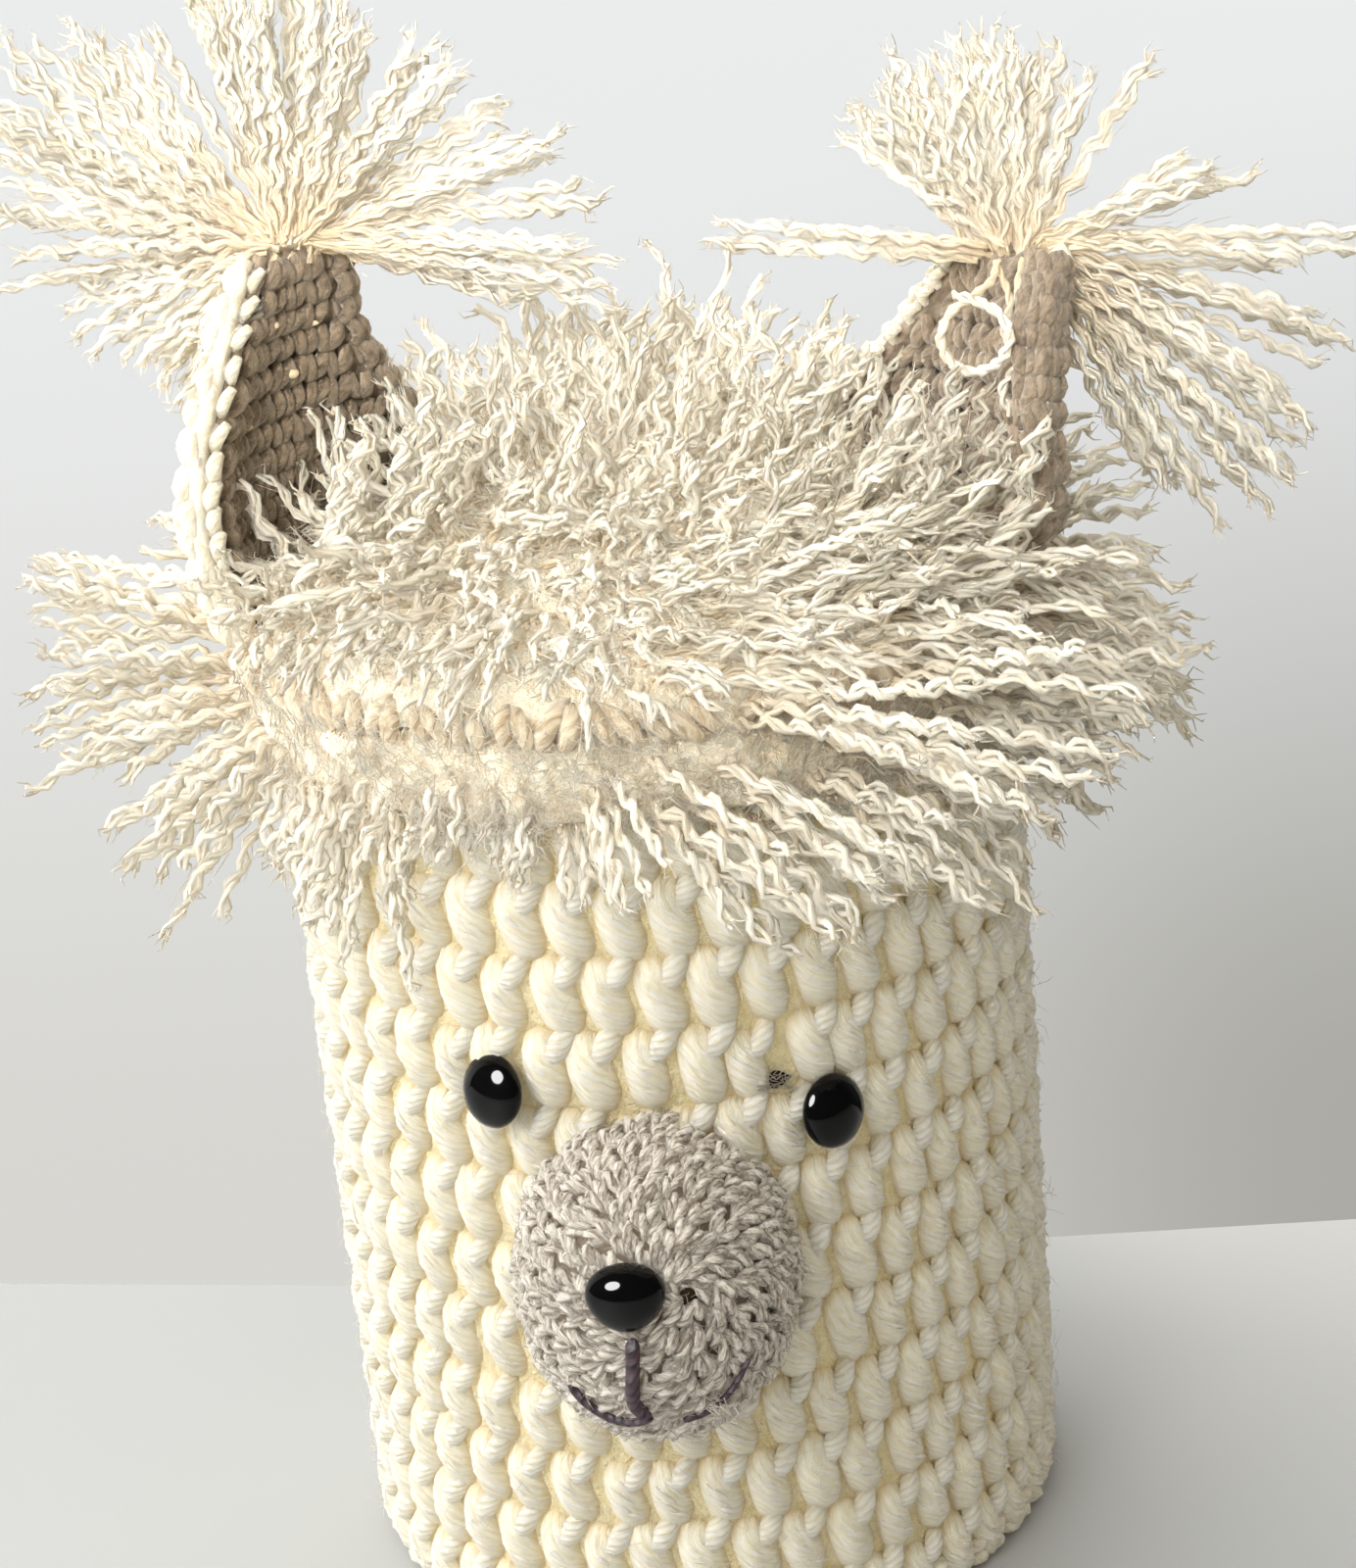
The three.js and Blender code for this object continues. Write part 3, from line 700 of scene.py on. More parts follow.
def cap_roots():
    """Where the pile is drawn through: denser towards the face, clear of the ears."""
    roots = []
    spacing = 4.75
    for row in range(-16, 17):
        for column in range(-14, 15):
            x = (column + 0.5 * (row % 2) + stray(0.22)) * spacing
            y = (row * 0.87 + stray(0.22)) * spacing
            roots.append((x, y))
            if y < -22:
                roots.append((x + spacing * 0.5, y + stray(1)))
    return [(x, y) for x, y in roots if not in_ear(x, y) and hypot(x, y) < CAP_EDGE + 0.5 - 5.5
        * ease(-y, 28, 46) * (1 - ease(x, -14, 8))]


# How many strands, the corners of the patch they grow from, and where they point.
EAR_TUFTS = [
    (15, (-50, -30), (-30, -12), (0.12, -0.15, 1)),
    (5, (-56, -30), (-46, -22), (0.5, -0.2, 0.9)),
    (20, (42, -34), (62, -8), (0.08, -0.1, 1)),
]


def cap_strands():
    """The pile: upright at the back, hanging over the face's left, swept up to the right."""
    lines = []
    for x, y in cap_roots():
        away, top = hypot(x, y) / CAP_EDGE, cap_height(x, y)
        outward, across = around(atan2(x, -y))
        rim, front, back = ease(away, 0.55, 1), ease(-y, -12, 46), ease(y, 5, 55)
        right, far = ease(x, -14, 22), ease(x, 22, 58)
        hangs, sweeps = ease(-y, 8, 50) * (1 - right), front * right
        upright = (UP + outward * (0.1 + 0.35 * rim) + vec(0.35 * right - 0.25 * ease(-x, 20, 60),
            -0.2 * ease(-y, -30, 10), 0))
        hanging = vec(0.02, -0.75, 0.35) + stray(0.12, 3)
        swept = vec(0.5 + 0.45 * far + 0.2 * rim, -0.32, 0.85 - 0.3 * far - 0.25 * rim)
        heading = (unit(upright) * (1 - hangs - sweeps) + unit(hanging) * hangs + unit(swept) * sweeps
            + vec(drift(x, y, 1), 0.5 * drift(x, y, 3.1), drift(x, y, 2.3)) * 0.4 + stray(0.17, 3))
        short = min(20, max(7, 2 * (top - CAP_TOP + 0.5)))
        length = between(0.85, 1.1) * ((18 + 2.5 * back) * (1 - hangs) + short * hangs)
        fall = vec(-0.1, -0.1, -0.85) * hangs + vec(0.2, -0.1, -0.25) * sweeps + stray(0.26, 3)
        lines.append(strand(vec(x, y, top + 0.5 + 1.8 * hangs), heading, length,
            fall - UP * 0.25 * rim * (1 - front), vec(1, 0.3, 0.2) + stray(0.35, 3),
            between(0.8, 1.1) * (1 - 0.15 * hangs), between(0.6, 0.95) * (1 + 0.35 * hangs + 0.45 * back),
            between(6, 7.6), 6.3 * drift(x, y, 0.4) + stray(0.5)))
    for count, low, high, lean in EAR_TUFTS:
        for _ in range(count):
            x, y = between(low, high)
            lines.append(strand(vec(x, y, cap_height(x, y) - 1), vec(*lean) + stray(0.14, 3),
                between(22, 33), (0.12, 0, -0.05), vec(1, 0.2, 0) + stray(0.2, 3), between(0.8, 1.05),
                between(1, 1.5), between(6, 7), between(0, 6.3)))
    return lines


def drift(x, y, seed):
    """A smooth, wandering value from -1 to 1 that neighbouring strands share."""
    warp = sin(0.11 * x + 0.07 * y + seed) + sin(0.09 * y - 0.05 * x + 2.1 * seed)
    return sin(0.16 * x + 1.7 * warp + 1.3 * seed) * cos(0.15 * y - 1.3 * warp + seed)


def pile_shade(x, y):
    return 0.7 * ease(x, 0, 48) * (1 - ease(y, 0, 30))


def cap_wisps(count):
    made = []
    while len(made) < count:
        x, y = between(-64, 64), between(-64, 54)
        if hypot(x, y) > 64 or in_ear(x, y):
            continue
        start = vec(x, y, cap_height(x, y) + between(2, 8))
        aim = unit(np.append(stray(1, 2), 0.3 * stray(1)))
        made.append(wisp(start, aim, UP, between(3.5, 7)))
    return made


def seam_places():
    """The row of stitches that joins the cap to the tube."""
    places = []
    for index in range(56):
        outward, across = around(2 * pi * index / 56)
        lean = unit(outward + UP * 0.35)
        places.append((outward * 64.8 + UP * (HEIGHT + 2.2), across, unit(np.cross(across, lean)), lean))
    return places


# ---- Fringe ----

# Each tier's height; how it rises, outwards and to the right; its reach outwards, to the
# right and hanging; how much lower it is rooted where it hangs.
FRINGE = [
    (165, 0.28, 0.02, 47, 46, 15.5, 3.4), (161.5, 0, -0.1, 45, 44, 14.5, 1.6),
    (157.5, -0.38, -0.22, 40, 40, 13.5, 0), (153.5, -0.75, -0.42, 34, 32, 12.5, 0),
]
LOCKS = 31
# Single strands out of the fringe: azimuth, height, heading, length.
STRAYS = [
    (6, 151, (0.75, -0.35, -0.75), 27), (9, 153, (0.9, -0.35, -0.5), 30),
    (16, 150, (0.95, -0.35, -0.42), 26), (-38, 150, (0.1, -0.3, -1), 26),
    (52, 150, (0.5, -0.35, -0.9), 22), (-41, 152, (-0.25, -0.3, -1), 24),
]


def fringe_strands():
    """Locks of three strands in four tiers round the top of the tube."""
    lines = []
    for tier, (height, lift, fall, outwards, rightwards, downwards, lower) in enumerate(FRINGE):
        for lock in range(LOCKS):
            middle = 2 * pi * (lock + 0.5 * (tier % 2) + stray(0.12)) / LOCKS
            middle = (middle + pi) % (2 * pi) - pi
            lean, rise = stray(0.15), stray(0.10)
            phase, period, grown = between(0, 6.28), between(6, 7.2), between(0.82, 1.06)
            for _ in range(3):
                azimuth = middle + stray(0.045)
                outward, across = around(azimuth)
                turning = ease(azimuth, -0.28, 0.18)
                right = turning * (1 - ease(azimuth, 1.75, 2.3))
                hang = ease(azimuth, -1.25, -0.8) * (1 - turning)
                out_way = outward + UP * (lift + rise) + across * lean
                right_way = (vec(1, -0.42, fall + 1.2 * rise) + outward * 0.12 - UP
                    * (0.4 if tier == 3 else 0.1) * ease(azimuth, 0.7, 1.2))
                down_way = outward * 0.45 - UP * 0.8 + across * (lean - 0.12)
                heading = (unit(out_way) * (1 - right - hang) + unit(right_way) * right + unit(down_way)
                    * hang + stray(0.06, 3))
                behind = ease(-cos(azimuth), 0.3, 0.9)
                corner = exp(-((azimuth + 0.72) / 0.16) ** 2)
                length = (outwards * (1 - 0.25 * behind) * (1 - right - hang) + rightwards
                    * (1 - 0.24 * ease(azimuth, 0.4, 1.2)) * right + (downwards + 15 * corner)
                    * hang) * grown * between(0.9, 1.05)
                root = (outward * (RADIUS - 2.5 + 3 * hang) + UP * (height - lower * hang + stray(0.8)))
                droop = UP * -0.10 * (1 - hang) - outward * 0.15 * hang + stray(0.06, 3)
                lines.append(strand(root, heading, length, droop, across * 0.4 + UP + stray(0.3, 3),
                    between(0.95, 1.2), between(0.65, 0.95), period, phase + stray(0.5)))
    for azimuth, height, heading, length in STRAYS:
        outward, across = around(radians(azimuth))
        lines.append(strand(outward * RADIUS + UP * height, heading, length, (0, 0, -0.1), UP + across,
            1, 1.2))
    return lines


def fringe_shade(x, y):
    azimuth = atan2(x, -y)
    return ease(azimuth, 0.35, 1) * (1 - ease(azimuth, 2.2, 2.7))


def fringe_fleece():
    """The soft band that the fringe's fine fibres make under the seam."""
    profile = [(-2.4, 165.2), (0.6, 165.6), (2.4, 164.2), (3.3, 162.2), (3.7, 160), (3.6, 157.6),
        (3.2, 155.4), (2.4, 153.2), (1.3, 151.4), (-0.6, 150.2), (-2.6, 151.4), (-3.4, 158)]
    shape = spun([(RADIUS + off, height) for off, height in profile], 230, True)
    for corner in shape.verts:
        where = vec(*corner.co) / MM
        outward = vec(where[0], where[1], 0)
        if hypot(*outward) > RADIUS - 1:
            moved, lump = fleece_at(where, 2.2)
            corner.co = Vector(where + moved + unit(outward) * (lump - 0.6)) * MM
    return finished("fringe_fleece", shape, fleece)


def band_wisps(count):
    made = []
    for _ in range(count):
        outward, across = around(between(-2, 1.6))
        start = outward * (RADIUS + 5) + UP * between(150.5, 170.5)
        aim = unit(across * stray(1) - UP * abs(stray(0.9)))
        made.append(wisp(start - outward * between(0, 1.4), aim, outward, between(3.5, 7)))
    return made


# ---- Tassels ----

# Each has its knot and its locks. Columns: lean from upright towards +X in degrees, length,
# droop, depth, strands, looseness.
TASSELS = {
    "left": ((-50, -1, 230), [
        (-138, 17, 0.12, -0.55, 8, 0.14), (-124, 24, 0.16, -0.4, 8, 0.12),
        (-110, 30, 0.14, -0.2, 6, 0.09), (-98, 33, 0.06, 0.1, 5, 0.08),
        (-80, 41, 0.04, -0.2, 9, 0.10), (-68, 46, 0, 0.15, 10, 0.11), (-56, 49, 0, -0.2, 10, 0.11),
        (-43, 47, 0, 0.2, 7, 0.08), (-28, 40, 0, -0.1, 4, 0.06), (-14, 43, 0, 0.2, 10, 0.10),
        (-2, 43, 0, -0.25, 14, 0.12), (10, 41, 0, 0.15, 14, 0.12), (22, 38, 0, -0.2, 9, 0.10),
        (38, 36, 0, 0.1, 3, 0.04), (47, 37, 0, -0.15, 4, 0.05), (60, 39, 0, 0.15, 4, 0.05),
        (71, 43, 0, -0.1, 4, 0.05), (83, 46, 0.04, 0.1, 3, 0.04), (92, 48, 0.06, -0.12, 4, 0.035),
        (100, 47, 0.04, 0, 4, 0.035), (108, 37, 0.04, 0.1, 3, 0.04)]),
    "right": ((65, -1, 220), [
        (-83, 47, 0, -0.1, 4, 0.03), (-78, 30, 0, 0.1, 2, 0.05), (-44, 32, 0, 0.15, 6, 0.07),
        (-32, 33, 0, -0.2, 9, 0.09), (-18, 33, 0, 0.2, 12, 0.10), (-4, 34, 0, -0.2, 12, 0.10),
        (9, 32, 0, 0.15, 9, 0.10), (20, 30, 0, -0.15, 5, 0.06), (37, 34, 0, 0.1, 2, 0.03),
        (60, 26, 0, 0, 2, 0.05), (70, 31, 0.02, -0.1, 3, 0.03), (77, 33, 0, 0.1, 3, 0.03),
        (94, 52, 0.02, 0, 2, 0.02), (100, 40, 0.05, -0.1, 5, 0.08), (108, 49, 0.08, 0.1, 6, 0.07),
        (118, 49, 0.1, -0.15, 7, 0.09), (130, 50, 0.08, 0.15, 7, 0.08),
        (140, 53, 0.05, -0.1, 6, 0.06), (152, 46, 0.02, 0.1, 5, 0.06)]),
}


def tassel_strands(knot, locks):
    lines = []
    for lean, length, droop, depth, count, loose in locks:
        turn = radians(lean)
        aim = vec(sin(turn), depth, cos(turn))
        phase = between(0, 6.28)
        side = unit(vec(cos(turn), stray(0.4), -sin(turn)))
        neck = vec(*knot) + vec(4.5 * sin(turn), 0, min(0, 3 * cos(turn)))
        period = between(5.6, 6.6)
        for _ in range(count):
            heading = unit(aim + stray(loose, 3))
            start = neck + stray(0.6 + 8 * loose, 3)
            lines.append(strand(start, heading, length * between(0.84, 1.04), (0, 0, -droop),
                side + stray(loose, 3), between(0.8, 1.05), between(0.45, 0.75),
                period * between(0.98, 1.02), phase + stray(5 * loose)))
    return lines


# Loose strands before the right ear: one curls into a ring, two hang down. x, y, z, radius.
EAR_LOOPS = [
    [(62, -6, 219, 0.7), (60.8, -9, 216.4, 0.8), (57.6, -11, 214.6, 0.9), (54, -12, 212.4, 0.95),
     (52.3, -12.5, 208.6, 0.95), (53.8, -13, 204.8, 0.95), (57.6, -13.5, 203.2, 0.95),
     (61.3, -14, 204.9, 0.95), (62.9, -14.5, 208.6, 0.95), (61.4, -14, 212.4, 0.9),
     (57.6, -12.5, 214.4, 0.8), (54.6, -11, 215.2, 0.6)],
    [(66, -6, 219, 0.7), (64.8, -9, 214, 0.75), (66.4, -12, 209, 0.75), (65.2, -14, 204.5, 0.75),
     (67.6, -15, 200, 0.75), (66.4, -16, 195.5, 0.7), (68.6, -17, 191, 0.6)],
    [(62, -6, 218, 0.7), (63.6, -9, 213, 0.75), (62.4, -10, 208.5, 0.75), (64, -12, 204, 0.75),
     (61.5, -13, 200, 0.7), (62.6, -14, 196, 0.6)],
]

# ---- Ears ----

# Columns: height; the front edge's x, y; the back edge's x, y; depth of the cup.
EARS = {
    "left": (-1, [
        (169.8, -60, -22, -26, 32, 11), (184, -64, -20, -31, 27, 12),
        (198, -63.5, -18, -38.5, 18, 10), (214, -59, -12, -44.5, 10, 6),
        (228, -54, -6, -44, 4, 3.5)]),
    "right": (1, [
        (169.8, 53, -22, 26, 33, 11), (182, 62.5, -20, 31, 27, 9), (196, 64, -16, 40, 19, 8),
        (209, 65.5, -11, 50, 10, 6), (219, 68, -6, 57, 4, 5)]),
}
# Columns of stitches up an ear's edge and up its rim inside: angle, how far out.
EDGE = {"left": [(0, 0.3)], "right": [(pi, 0), (pi - 0.09, 2.2)]}
RIM = {"left": [(pi, -0.4), (pi - 0.1, 1.8), (pi - 0.22, 2.6)],
       "right": [(0.03, -0.4), (0.06, 1.8), (0.16, 3.2), (0.28, 3.6)]}
EDGE_STITCHES = 13


def ear_point(side, up, angle, off):
    """A point of an ear: up from 0 to 1, angle from its front edge to its back edge."""
    outward, rows = EARS[side]
    height, fx, fy, bx, by, depth = smooth(rows, 41)[int(round(up * 40))]
    half = hypot(bx - fx, by - fy) / 2
    along = vec(bx - fx, by - fy) / (2 * half)
    out = vec(outward * abs(along[1]), abs(along[0]))
    middle = vec(fx + bx, fy + by) / 2
    where = middle - along * cos(angle) * (half + off) + out * sin(angle) * (depth + off)
    return np.append(where, height)


FEET = [ear_point(side, 0, angle, 0) for side in EARS for angle in np.linspace(0.1, 3.04, 15)]


def in_ear(x, y):
    """True where an ear stands on the cap."""
    return any(hypot(x - foot[0], y - foot[1]) < 2.6 for foot in FEET)


def ear_sheet(name, side, inside, outside, material):
    shape = bmesh.new()
    bmesh.ops.create_grid(shape, x_segments=28, y_segments=20, size=0.5)
    for corner in shape.verts:
        where = ear_point(side, corner.co.y + 0.5, pi * (corner.co.x + 0.5), (inside + outside) / 2)
        corner.co = Vector(where) * MM
    bmesh.ops.recalc_face_normals(shape, faces=shape.faces)
    bmesh.ops.solidify(shape, geom=list(shape.faces), thickness=(outside - inside) * MM)
    return finished(name, shape, material)


def ear_upward(side, up, angle, off):
    return unit(ear_point(side, min(1, up + 0.06), angle, off)
        - ear_point(side, max(0, up - 0.06), angle, off))


def ear_frame(side, up, angle, off, facing):
    """The place and the three directions of a stitch on an ear."""
    here = ear_point(side, up, angle, off)
    across = unit(ear_point(side, up, angle + 0.03, off) - ear_point(side, up, angle - 0.03, off))
    outward = unit(np.cross(across, ear_upward(side, up, angle, off)))
    if np.dot(outward, ear_point(side, up, angle, off + 1) - here) * facing < 0:
        outward = -outward
    return here + outward * 0.5, across, unit(np.cross(outward, across)), outward


def ear_places(side, off, facing, apart=4.5):
    """Where an ear layer's stitches sit: its inside faces -1 and its outside 1."""
    places = []
    rows = int((EARS[side][1][-1][0] - CAP_TOP) / apart) + 1
    angles = np.linspace(0, pi, 60)
    for row in range(rows):
        up = min(0.99, (row + 0.5) / rows)
        line = np.array([ear_point(side, up, a, off) for a in angles])
        run = np.append(0, np.cumsum(lengths(line)))
        count = max(3, int(run[-1] / apart))
        for index in range(count):
            part = (index + 0.5 + 0.3 * (row % 2)) / (count + 0.3)
            places.append(ear_frame(side, up, np.interp(part * run[-1], run, angles), off, facing))
    return places


def edge_places(side, columns):
    """Stitches that bind an ear's two layers, in columns up an edge."""
    places = []
    for angle, off in columns:
        for step in range(EDGE_STITCHES):
            up = min(0.99, (step + 0.5) / EDGE_STITCHES)
            here = ear_point(side, up, angle, off)
            upward = ear_upward(side, up, angle, off)
            out = unit(ear_point(side, up, angle, off + 2) - here)
            places.append((here + out * 0.3, unit(np.cross(upward, out)), upward, out))
    return places


def lining_gaps():
    """The outer layer's cream yarn where it shows through the left ear's lining."""
    shape = bmesh.new()
    for up, angle, size in ((0.80, 1.15, 0.9), (0.78, 2.45, 0.8), (0.66, 1.75, 1.1), (0.56, 1, 0.6)):
        where = Matrix.Translation(Vector(ear_point("left", up, angle, -4.1)) * MM)
        wide = Matrix.Diagonal((1.3 * size * MM, 1.3 * size * MM, 0.8 * size * MM, 1))
        bmesh.ops.create_icosphere(shape, subdivisions=2, radius=1, matrix=where @ wide)
    return finished("lining_gaps", shape, hair)


# ---- Snout ----

SNOUT_MIDDLE = vec(-1.5, -RADIUS, 75)
SNOUT_HALF = vec(21.5, 25, 25.5)
SNOUT_TILT = radians(-9)
ROUNDS_FROM = unit([0.279, -0.96, 0.20])
# How thick each thread is, and the x and z that it passes.
MOUTH = {
    "middle": (1.15, [(-3.6, 78), (-4, 73), (-4.5, 68.5), (-4.3, 65.2), (-2.6, 62.8)]),
    "left": (0.7, [(-14.6, 67.2), (-12.4, 64), (-8.6, 61.4), (-5, 61.2), (-2.2, 62.6)]),
    "right": (0.55, [(2.4, 61), (6.4, 62), (10, 65), (13, 69.8)]),
}


def snout_point(direction, off=0):
    """The point of the snout's skin in a direction given on the unit ball."""
    x, y, z = unit(direction) * (SNOUT_HALF + off)
    c, s = cos(SNOUT_TILT), sin(SNOUT_TILT)
    return SNOUT_MIDDLE + vec(x, c * y - s * z, s * y + c * z)


def over_snout(x, z, off):
    """The point over the snout's skin that shows at x and z from the front."""
    guess = vec(0, -1, 0)
    for _ in range(12):
        here = snout_point(guess, off)
        guess = unit(guess + vec((x - here[0]) / 22, 0, (z - here[2]) / 26))
    return snout_point(guess, off)


def snout_places():
    """Where the snout's stitches sit, in rounds from its foremost point."""
    side = unit(np.cross(ROUNDS_FROM, UP))
    rise = np.cross(side, ROUNDS_FROM)
    places = []
    for ring in range(11):
        polar = radians(7 + 10.4 * ring)
        count = max(5, int(round(2 * pi * 23.5 * sin(polar) / 4.5)))
        for index in range(count):
            turn = 2 * pi * (index + 0.37 * ring) / count
            swing = side * cos(turn) + rise * sin(turn)
            here, above, beyond = (snout_point(ROUNDS_FROM * cos(out) + swing * sin(out), off) for out,
                off in ((polar, 0), (polar, 1), (polar + 0.02, 0)))
            if hypot(here[0], here[1]) < RADIUS - 1 or here[1] > 0:
                continue
            outward, upward = unit(above - here), unit(beyond - here)
            places.append((here - outward * 0.5, unit(np.cross(upward, outward)), upward, outward))
    return places


def snout_fibres(count):
    made = []
    for _ in range(count):
        way = unit(stray(1, 3) + vec(0, -1.2, 0))
        start = snout_point(way, 0.6)
        if hypot(start[0], start[1]) < RADIUS:
            continue
        outward = unit(snout_point(way, 1.6) - start)
        aim = unit(np.cross(outward, stray(1, 3)) + outward * 0.35)
        reach = between(1.8, 4)
        made.append(fibre(start, aim * reach, outward * between(0, 0.6) + stray(0.2, 3), STUBBLE))
    return made


def mouth_fluff():
    """A few fibres caught at the right corner of the mouth."""
    corner = over_snout(7.6, 62.6, 2)
    return [wisp(corner + stray(1, 3), unit(stray(1, 3) + (0.5, -0.2, 0.6)), vec(0, -1, 0),
        between(2.5, 4.5)) for _ in range(16)]


def snout_gap():
    """Painted shade: a dark ball that stands for the shadow inside a small gap beside the nose."""
    middle = over_snout(5, 82.6, 0.25)
    return ball("snout_gap", (14, 10), lambda *at: middle + vec(1.4, 0.8, 1.7) * at, dark_gap)


def mouth_thread(name, thick, points):
    line = smooth([(*over_snout(x, z, 1.5), thick) for x, z in points], 22)
    line[0, 3] = line[-1, 3] = 0.4
    return yarn("thread_" + name, [line], plum, sides=8)


# ---- Eyes and nose ----

# Azimuth, height, and how far the dome is turned outwards and downwards, in degrees.
EYES = {"left": (-23.2, 105.5, -14.8, -14), "right": (26.2, 98, 15.6, -11)}
DOME = [(0, 3.2), (1.3, 3.12), (2.6, 2.85), (3.8, 2.35), (4.9, 1.6), (5.65, 0.8), (5.95, 0),
        (5.7, -0.7), (4, -1.2), (0, -1.2)]


def eye(name, azimuth, height, outwards, downwards):
    shape = spun(DOME, 40)
    move = Matrix.Translation((0, -(RADIUS + 1.1) * MM, height * MM))
    lay = turned((outwards, "Z"), (90 + downwards, "X"))
    bmesh.ops.transform(shape, matrix=turned((azimuth, "Z")) @ move @ lay, verts=shape.verts)
    return finished(name, shape, gloss)


def nose():
    tilt = turned((-8, "X"))
    middle = Vector((-4.2, -RADIUS - 24.4, 84))

    def place(x, y, z):
        return middle + tilt @ Vector((x * 6 * (1 + 0.15 * z), y * 4.2 * (1 + 0.1 * z), z * 5.3))
    return ball("nose_button", (40, 28), place, gloss)


# ---- Stage ----


def backdrop_material():
    """A pale wall that glows instead of being lit, with painted shade: it falls off downwards and towards
    the shaded right.
    """
    material, tree, shader = new_material("pale_wall")
    x, _, z = node(tree, "SeparateXYZ", {0: node(tree, "TexCoord").outputs["Object"]}).outputs
    down = ranged(tree, z, 0.15, -0.52, kind="SMOOTHSTEP")
    sideways = ranged(tree, x, -0.18, 0.30, kind="SMOOTHSTEP")
    low = mix(tree, sideways, linear((212, 211, 206)), linear((165, 164, 158)))
    # Painted light: the wall's glow stands for the light on it and also lights the cover from behind; its
    # fall-off is painted shade.
    feed(shader, {"Base Color": (0, 0, 0, 1), "Specular IOR Level": 0,
        "Emission Color": mix(tree, down, linear((233, 235, 235)), low),
        "Emission Strength": ranged(tree, x, 0.34, 1.4, 1, 0.12)})
    return material


def table_material():
    """A pale table with a painted pool of light, lighter where it reaches back on the right."""
    material, tree, shader = new_material("pale_table")
    x, y, _ = node(tree, "SeparateXYZ", {0: node(tree, "TexCoord").outputs["Object"]}).outputs
    # Painted light: the lighter patch at the back right stands for the light that falls there beside the
    # cover's shadow.
    both = sums(tree, "MULTIPLY", ranged(tree, x, 0.02, 0.10, kind="SMOOTHSTEP"),
        ranged(tree, y, -0.07, 0.09, kind="SMOOTHSTEP"))
    colour = mix(tree, both, linear((168, 171, 172)), linear((205, 207, 208)))
    feed(shader, {"Base Color": colour, "Roughness": 0.6})
    return material


def put_stage():
    edge = [(-2.5, -1.5), (2.5, -1.5), (2.5, 0.10), (0.067, 0.074), (-0.05, 0.066), (-0.156, 0.078),
        (-2.5, 0.40)]
    floor = flat("table", [(x, y, 0) for x, y in edge], table_material())
    back = flat("backdrop", [(-4, 1.1, -2), (4, 1.1, -2), (4, 1.1, 3), (-4, 1.1, 3)], backdrop_material())
    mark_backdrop(floor, back)


# Place, what it points at, how wide it is, its power, its colour.
LAMPS = {
    "window": ((-1.3, -0.12, 0.74), (0, 0, 0.12), 1.6, 21, (1, 0.99, 0.97)),
    "front": ((-0.66, -0.84, 1.02), (0, 0, 0.10), 0.9, 6.9, (1, 0.99, 0.96)),
    "ceiling": ((-0.35, -0.1, 1.3), (0, 0, 0.15), 2, 6.5, (1, 0.985, 0.96)),
    "behind": ((-0.2, 0.7, 0.85), (0, 0, 0.2), 0.9, 4.6, (1, 0.98, 0.94)),
    "fill": ((-0.1, -0.8, 0.62), (-0.01, 0, 0.33), 0.25, 0.40, (1, 0.98, 0.94)),
    "pane": ((-0.62, -0.85, 1.1), (0, 0, 0.10), 0.8, 100, (1, 1, 1)),
}
# The share of a lamp's light that soft loose yarn lets through, and that yarn's pieces.
THROUGH = {"window": 0.68, "front": 0.5}
LOOSE = ("pile", "fringe_strands", "wisps", "tassel_strands", "snout_stitches")


def put_light(name, place, target, size, power, colour):
    data = bpy.data.lights.new(name, "AREA")
    data.shape = "DISK"
    data.size = size
    data.energy = power
    data.color = colour
    data.spread = radians(22 if name == "fill" else 180)
    lamp = added(name, data)
    # The pane is only mirrored in the eyes and nose; the others are not mirrored at all.
    lamp.visible_glossy = name == "pane"
    lamp.visible_diffuse = name != "pane"
    lamp.location = place
    lamp.rotation_euler = (Vector(target) - Vector(place)).to_track_quat("-Z", "Y").to_euler()
    return lamp


def collected(name, wanted):
    """A collection of the pieces whose names are wanted, for a lamp to leave out."""
    group = bpy.data.collections.new(name)
    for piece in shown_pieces():
        if wanted(piece.name):
            group.objects.link(piece)
    for entry in group.collection_objects:
        entry.light_linking.link_state = "EXCLUDE"
    return group


def put_lights():
    """The lamps; a part of some shines through loose yarn and misses the shaded strands."""
    for name, (place, target, size, power, colour) in LAMPS.items():
        share = THROUGH.get(name, 0)
        put_light(name, place, target, size, power * (1 - share), colour)
        if share:
            starts = LOOSE if name == "front" else (*LOOSE, "body_posts", "body_plies", "body_loops")
            lamp = put_light(name + "_through", place, target, size, power * share, colour)
            lamp.light_linking.blocker_collection = collected("loose_for_" + name,
                lambda label: label.startswith(starts))
            lamp.light_linking.receiver_collection = collected("shaded_from_" + name,
                lambda label: "_shaded" in label)
    world = bpy.data.worlds.new("room")
    world.use_nodes = True
    tree = world.node_tree
    glossy = node(tree, "LightPath").outputs["Is Glossy Ray"]
    feed(tree.nodes["Background"], {0: (0.98, 0.90, 0.76, 1),
        1: sums(tree, "MULTIPLY_ADD", glossy, -0.55, 0.60)})
    scene.world = world
    scene.view_settings.view_transform = "Standard"
    scene.view_settings.gamma = 1.1


# ---- The cover ----

put_camera()
put_stage()

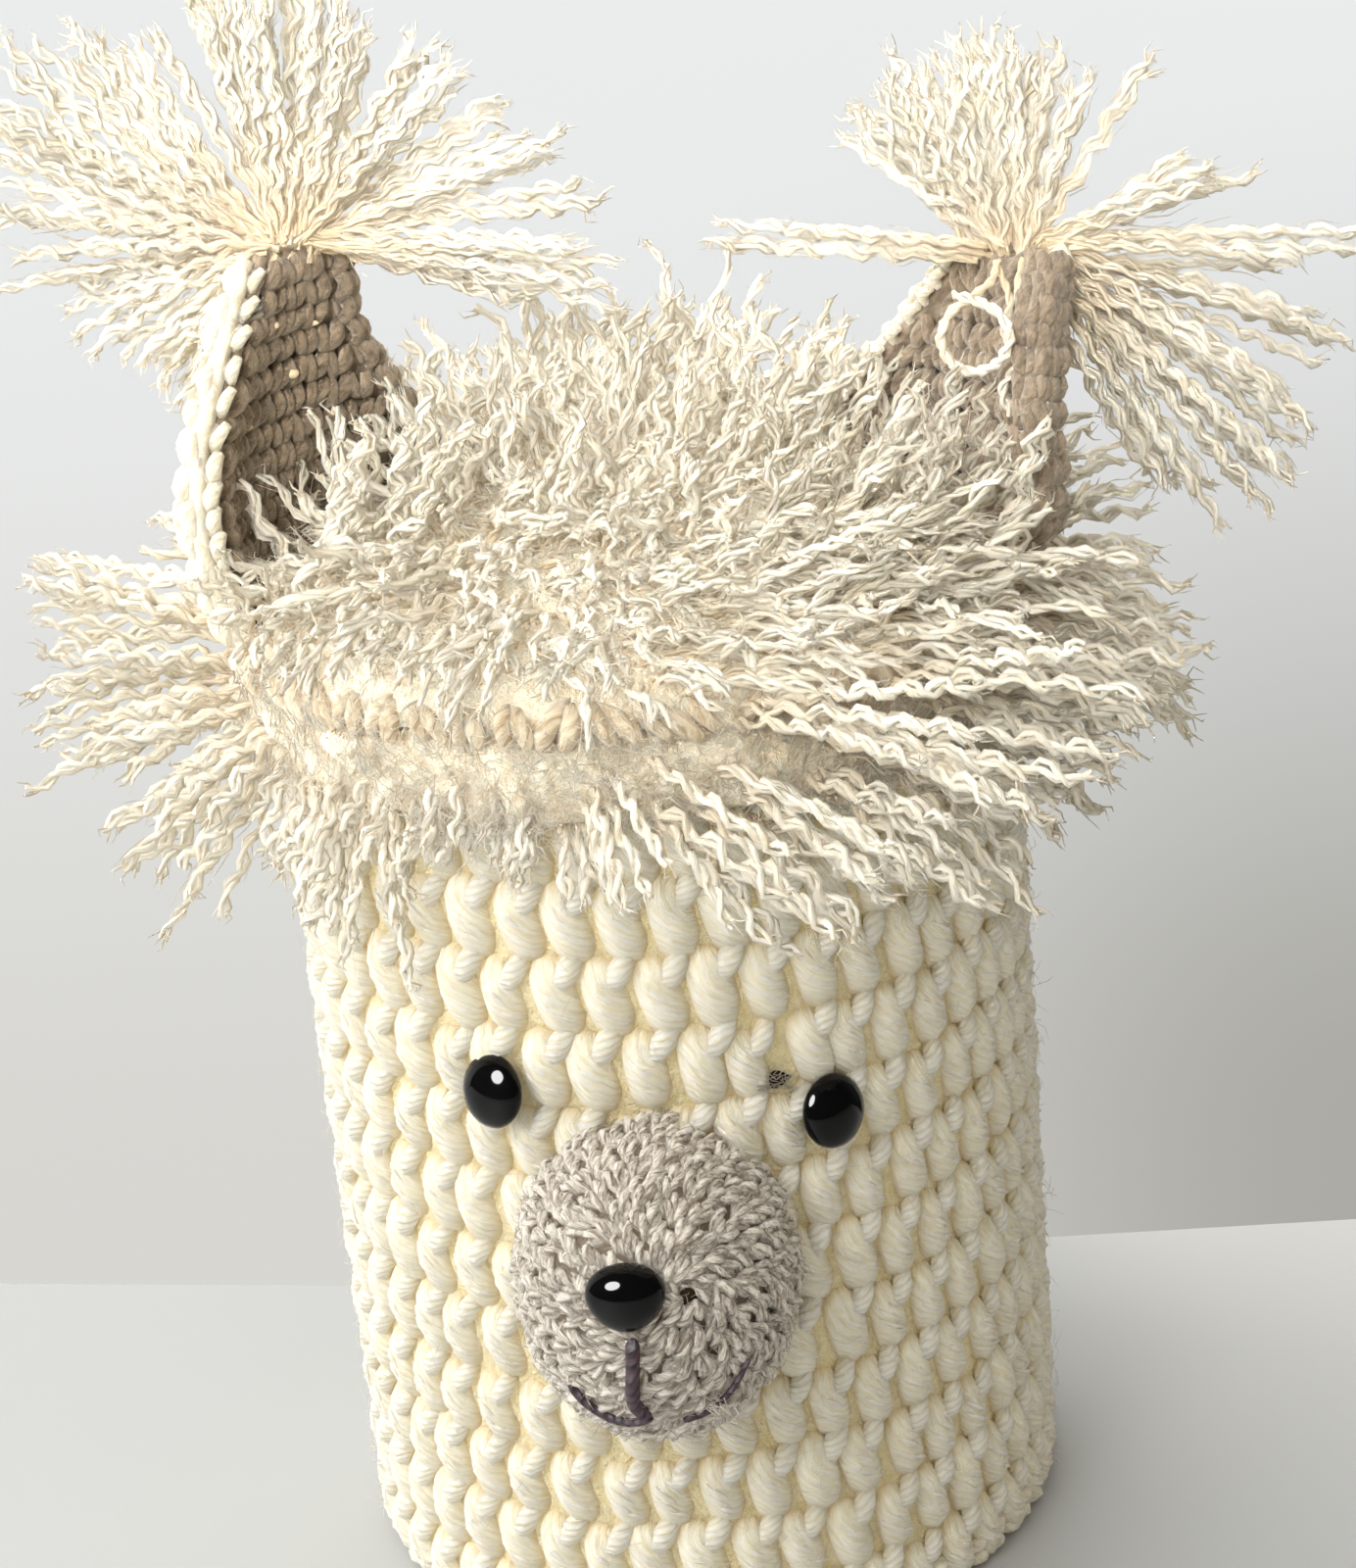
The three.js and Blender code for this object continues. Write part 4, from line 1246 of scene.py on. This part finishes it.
ground = settle(body_wall(), "cream_yarn", "body")
stitches = [settle(piece, "cream_yarn") for piece in body_stitches()]
stitches.append(settle(yarn("hem_chain", small_stitches(hem_places(), 1.15), edge_yarn), "cream_yarn"))
stitches.append(settle(yarn("body_fibres", body_fibres(1500), edge_yarn, sides=3), "cream_yarn"))
settle(gap(), "cream_yarn")
settle(yarn("gap_fibres", gap_fibres(), fleece, sides=3), "cream_yarn")
fringe = hairy_piece("fringe_strands", fringe_strands(), 5, 3, fringe_shade)
fringe.append(fringe_fleece())
fringe.append(yarn("wisps", band_wisps(1900) + cap_wisps(2200), hair, sides=3))
for piece in fringe:
    settle(piece, "hair_yarn")
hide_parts("fringe")

crown = settle(cap_pad(), "hair_yarn", "head_cap")
for piece in hairy_piece("pile", cap_strands(), 3, 2, pile_shade):
    settle(piece, "hair_yarn")
settle(yarn("seam", small_stitches(seam_places(), 1.25, 0.3, 0.5), seam_shade_yarn), "hair_yarn")

for side in EARS:
    outer = settle(ear_sheet(f"ear_back_{side}", side, 0.3, 2.4, edge_yarn), "cream_yarn",
        f"ear_outer_{side}")
    outer_stitches = yarn(f"ear_back_stitches_{side}", small_stitches(ear_places(side, 2.4, 1, 5),
        1.12), edge_yarn)
    sizes = np.tile(np.linspace(1.1, 0.75, EDGE_STITCHES), len(EDGE[side]))
    edging = yarn(f"ear_edge_{side}", small_stitches(edge_places(side, EDGE[side]), sizes), edge_yarn)
    tassel = hairy_piece(f"tassel_strands_{side}", tassel_strands(*TASSELS[side]), 12, 4)
    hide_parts(f"tassel_{side}")
    goes_along = [outer_stitches, edging, *tassel]
    for piece in goes_along:
        settle(piece, "cream_yarn" if piece not in tassel else "hair_yarn")
    inner = settle(ear_sheet(f"ear_front_{side}", side, -2.4, -0.3, taupe_pad), "taupe_yarn",
        f"ear_inner_{side}")
    front = small_stitches(ear_places(side, -2.4, -1), 1.05, 0.2, 0.3)
    inside = [settle(yarn(f"ear_front_stitches_{side}", front, lining), "taupe_yarn")]
    folded = small_stitches(edge_places(side, RIM[side]), 1.1)
    inside.append(settle(yarn(f"ear_rim_{side}", folded, lining), "taupe_yarn"))
    if side == "left":
        inside.append(settle(lining_gaps(), "cream_yarn"))
    else:
        loops = [ply for line in EAR_LOOPS for ply in plied(smooth(line, 40), 2, 5)]
        inside.append(settle(yarn("ear_loops", loops, hair, sides=4), "hair_yarn"))

snout = settle(ball("snout_pad", (48, 32), lambda *at: snout_point(at, -1.3), taupe_pad), "taupe_yarn",
    "snout")
legs = small_stitches(snout_places(), 1, 0.3, 0.32)
plies = [ply for leg in legs for ply in plied(leg, 2, 8)]
settle(yarn("snout_stitches", plies, taupe, sides=5), "taupe_yarn")
settle(snout_gap(), "taupe_yarn")
settle(yarn("mouth_fluff", mouth_fluff(), edge_yarn, sides=3), "taupe_yarn")
settle(yarn("snout_fibres", snout_fibres(600), taupe, sides=3), "taupe_yarn")
for name, (thick, points) in MOUTH.items():
    settle(mouth_thread(name, thick, points), "plum_thread", f"mouth_{name}")
for side, place in EYES.items():
    settle(eye(f"eye_dome_{side}", *place), "black_gloss", f"eye_{side}")
settle(nose(), "black_gloss", "nose")

put_lights()
